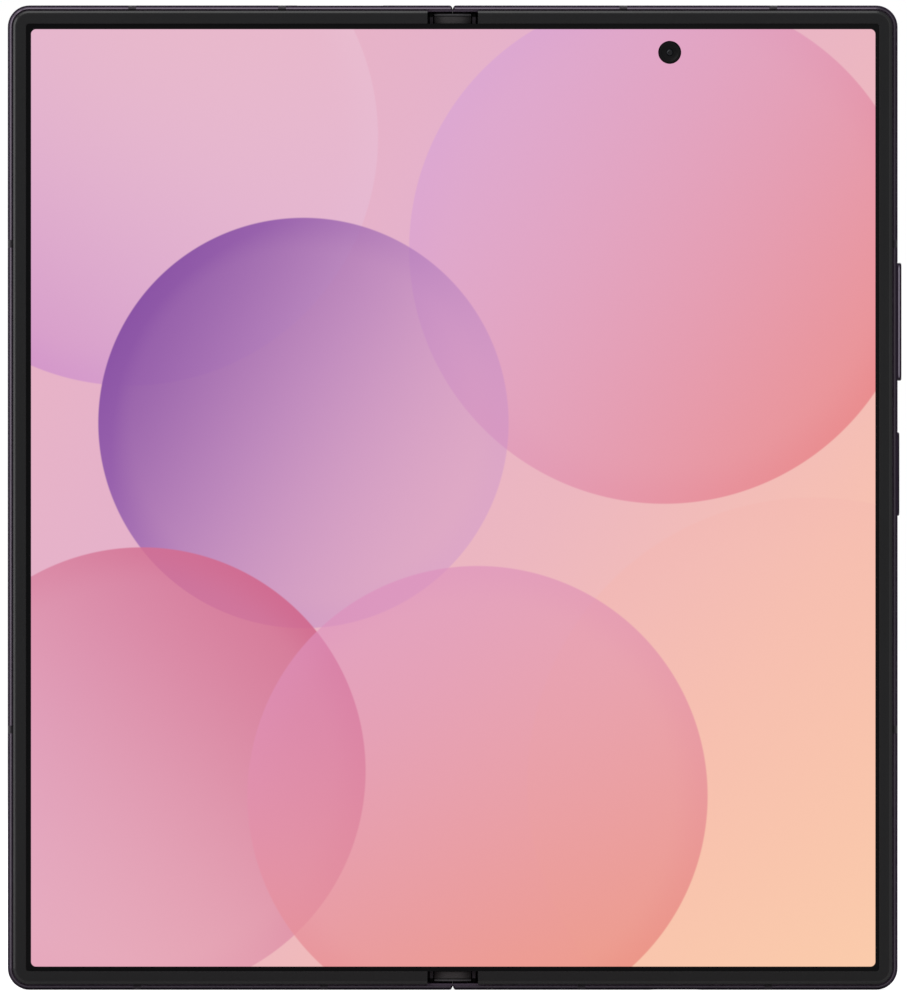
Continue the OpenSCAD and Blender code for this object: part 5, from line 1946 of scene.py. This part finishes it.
@dataclass
class Shells:
    """The frames, bezels, hinge parts, boards and cells, which keep the shapes of their CAD nodes."""

    finishes: tuple[tuple[Finish, tuple[str, ...]], ...] = (
        (FRAME_METAL, ("right_frame", "left_frame", "sim_tray")),
        (SPINE_METAL, ("spine_cover",)),
        (BREAK_PLASTIC, ("right_antenna_breaks", "left_antenna_breaks")),
        (BEZEL_PLASTIC, ("right_bezel", "left_bezel")),
        (CAP_PLASTIC, ("hinge_end_caps",)),
        (HINGE_METAL, ("hinge_brackets", "gear_shafts", "right_rotator_arms", "left_rotator_arms",
                       "left_sync_arms", "right_sync_arms", "left_idler_gears", "right_idler_gears")),
        (PLATE_METAL, ("centre_plate", "left_wing_plate", "right_wing_plate")),
        (SCREW_METAL, ("hinge_screws", "left_screws", "right_screws")),
        (CIRCUIT, ("main_board", "left_board", "usb_board")),
        (CAN_METAL, ("board_shields", "sim_reader", "vibration_motor")),
        (COPPER, ("vapor_chamber",)),
        (BATTERY_FOIL, ("right_battery", "left_battery")),
        (KEY_FLEX, ("key_flex",)),
        (MODULE_BLACK, ("loudspeaker", "earpiece_speaker")),
        (MAGNET_METAL, ("left_magnets", "right_magnets")),
    )

    def build(self) -> None:
        """Dresses the nodes."""
        for finish, nodes in self.finishes:
            dress(finish, *nodes)


@dataclass
class Studio:
    """Floor, light and camera, all in metres.

    A lamp has a name, a place, the side of its square face and a power in watts.
    """

    floor_z: float = -BODY[1] * MM
    floor_half: float = 6.0
    floor_greys: Point = (0.84, 0.88)
    floor_seen: float = 0.45
    floor_glow: float = 0.74
    picture_height: float = 0.1608
    aim: Point = (0.00013, -0.00039)
    lens: float = 600.0
    sensor: float = 36.0
    front: float = -0.0042
    clip: Point = (0.1, 50.0)
    ambient: float = 0.62
    lamps: tuple[tuple[str, tuple[float, float, float], float, float], ...] = (
        ("key_light", (-0.7, -0.9, 0.9), 0.7, 6.5),
        ("left_light", (-1.3, -0.25, 0.35), 1.0, 11.0),
        ("top_light", (-0.15, -0.3, 1.35), 0.9, 8.0),
        ("fill_light", (0.4, -1.3, 0.2), 0.9, 2.0),
        ("back_light", (0.4, 1.2, 0.9), 1.0, 8.0),
    )

    def floor(self) -> None:
        """Builds the pale floor, which shows white to the camera and keeps the shadow."""
        g = Graph("pale_floor")
        seen = g.add("ShaderNodeLightPath").outputs["Is Camera Ray"]
        dark, light = self.floor_greys
        soft = g.blend(g.noise(g.place(), 90.0, 2.0), grey(dark), grey(light))
        plain = g.add("ShaderNodeBsdfDiffuse", {"Color": soft}).outputs[0]
        faint = g.add("ShaderNodeBsdfDiffuse", {"Color": grey(self.floor_seen)}).outputs[0]
        glow = g.add("ShaderNodeEmission", {"Color": grey(1.0), "Strength": self.floor_glow}).outputs[0]
        lit = g.add("ShaderNodeAddShader", {0: faint, 1: glow}).outputs[0]
        material = g.shown(g.add("ShaderNodeMixShader", {0: seen, 1: plain, 2: lit}).outputs[0])
        bm = bmesh.new()
        bmesh.ops.create_grid(bm, x_segments=1, y_segments=1, size=self.floor_half)
        bmesh.ops.translate(bm, verts=bm.verts, vec=(0, 0, self.floor_z))
        floor = piece("studio_floor", bm, material)

    def world(self) -> None:
        """Makes the white surroundings, softer for the light than for the eye."""
        world = bpy.data.worlds.new("studio")
        bpy.context.scene.world = world
        world.use_nodes = True
        world.node_tree.nodes.clear()
        g = Nodes(world.node_tree)
        path = g.add("ShaderNodeLightPath").outputs
        seen = path["Is Camera Ray"]
        for kind in ("Is Glossy Ray", "Is Transmission Ray"):
            seen = g.calc("MAXIMUM", seen, path[kind])
        strength = g.add("ShaderNodeMapRange", {"Value": seen, "To Min": self.ambient, "To Max": 1.0})
        back = g.add("ShaderNodeBackground", {"Color": grey(1.0), "Strength": strength.outputs[0]})
        g.tree.links.new(back.outputs[0], g.add("ShaderNodeOutputWorld").inputs[0])

    def lamp(self, name: str, place: tuple[float, float, float], size: float, power: float) -> None:
        """Adds a soft lamp that faces the phone.

        Args:
            name: The lamp's name.
            place: Where it hangs.
            size: Side of its square face.
            power: Its power in watts.
        """
        light = bpy.data.lights.new(name, "AREA")
        light.size, light.energy = size, power
        obj = bpy.data.objects.new(name, light)
        obj.location = place
        obj.rotation_euler = (-Vector(place)).to_track_quat("-Z", "Y").to_euler()
        obj.visible_camera = False
        bpy.context.scene.collection.objects.link(obj)

    def camera(self) -> None:
        """Places the camera square in front of the screen, far enough to look nearly flat."""
        data = bpy.data.cameras.new("camera")
        data.lens, data.sensor_width = self.lens, self.sensor
        data.clip_start, data.clip_end = self.clip
        obj = bpy.data.objects.new("camera", data)
        distance = self.lens / self.sensor * self.picture_height
        obj.location = (self.aim[0], self.front - distance, self.aim[1])
        obj.rotation_euler = (math.pi / 2, 0, 0)
        bpy.context.scene.collection.objects.link(obj)
        bpy.context.scene.camera = obj

    def build(self) -> None:
        """Builds the studio."""
        self.floor()
        self.world()
        for lamp in self.lamps:
            self.lamp(*lamp)
        self.camera()
        bpy.context.scene.view_settings.view_transform = "Standard"


def main() -> None:
    """Builds every sub-assembly in order."""
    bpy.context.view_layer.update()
    Studio().build()
    Shells().build()
    FoldingScreen().build()
    FlexCables().build()
    SelfieCamera().build()
    RearCameras().build()
    BackPanes().build()
    KeyCap("volume_rocker", 28.3, 19.0, 72.2).build()
    KeyCap("side_key", 3.8, 13.5, 71.87).build()
    SeamSeals().build()
    Grille("speaker_weave", Side.RIGHT, tuple(51.8 + 2 * i for i in range(6)), 0.5, -78.0).build()
    Grille("earpiece_weave", Side.LEFT, tuple(41.3 + 1.6 * i for i in range(5)), 0.36, 78.2, 6, 0.025).build()
    ChargingSocket().build()
    ChargingCoil().build()
    DetentSprings().build()
    BoardParts("main_board_parts", Side.RIGHT, (20.0, 46.0), (16.0, 18.0), 1.85, 16, 3).build()


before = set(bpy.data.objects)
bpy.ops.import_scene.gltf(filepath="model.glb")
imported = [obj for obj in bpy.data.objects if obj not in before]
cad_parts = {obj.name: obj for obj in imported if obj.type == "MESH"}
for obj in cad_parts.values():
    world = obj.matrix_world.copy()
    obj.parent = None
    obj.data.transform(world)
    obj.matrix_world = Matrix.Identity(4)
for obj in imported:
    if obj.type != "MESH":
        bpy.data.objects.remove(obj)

if __name__ == "__main__":
    logging.basicConfig(level=logging.INFO, format="%(name)s: %(message)s", stream=sys.stdout)
    main()
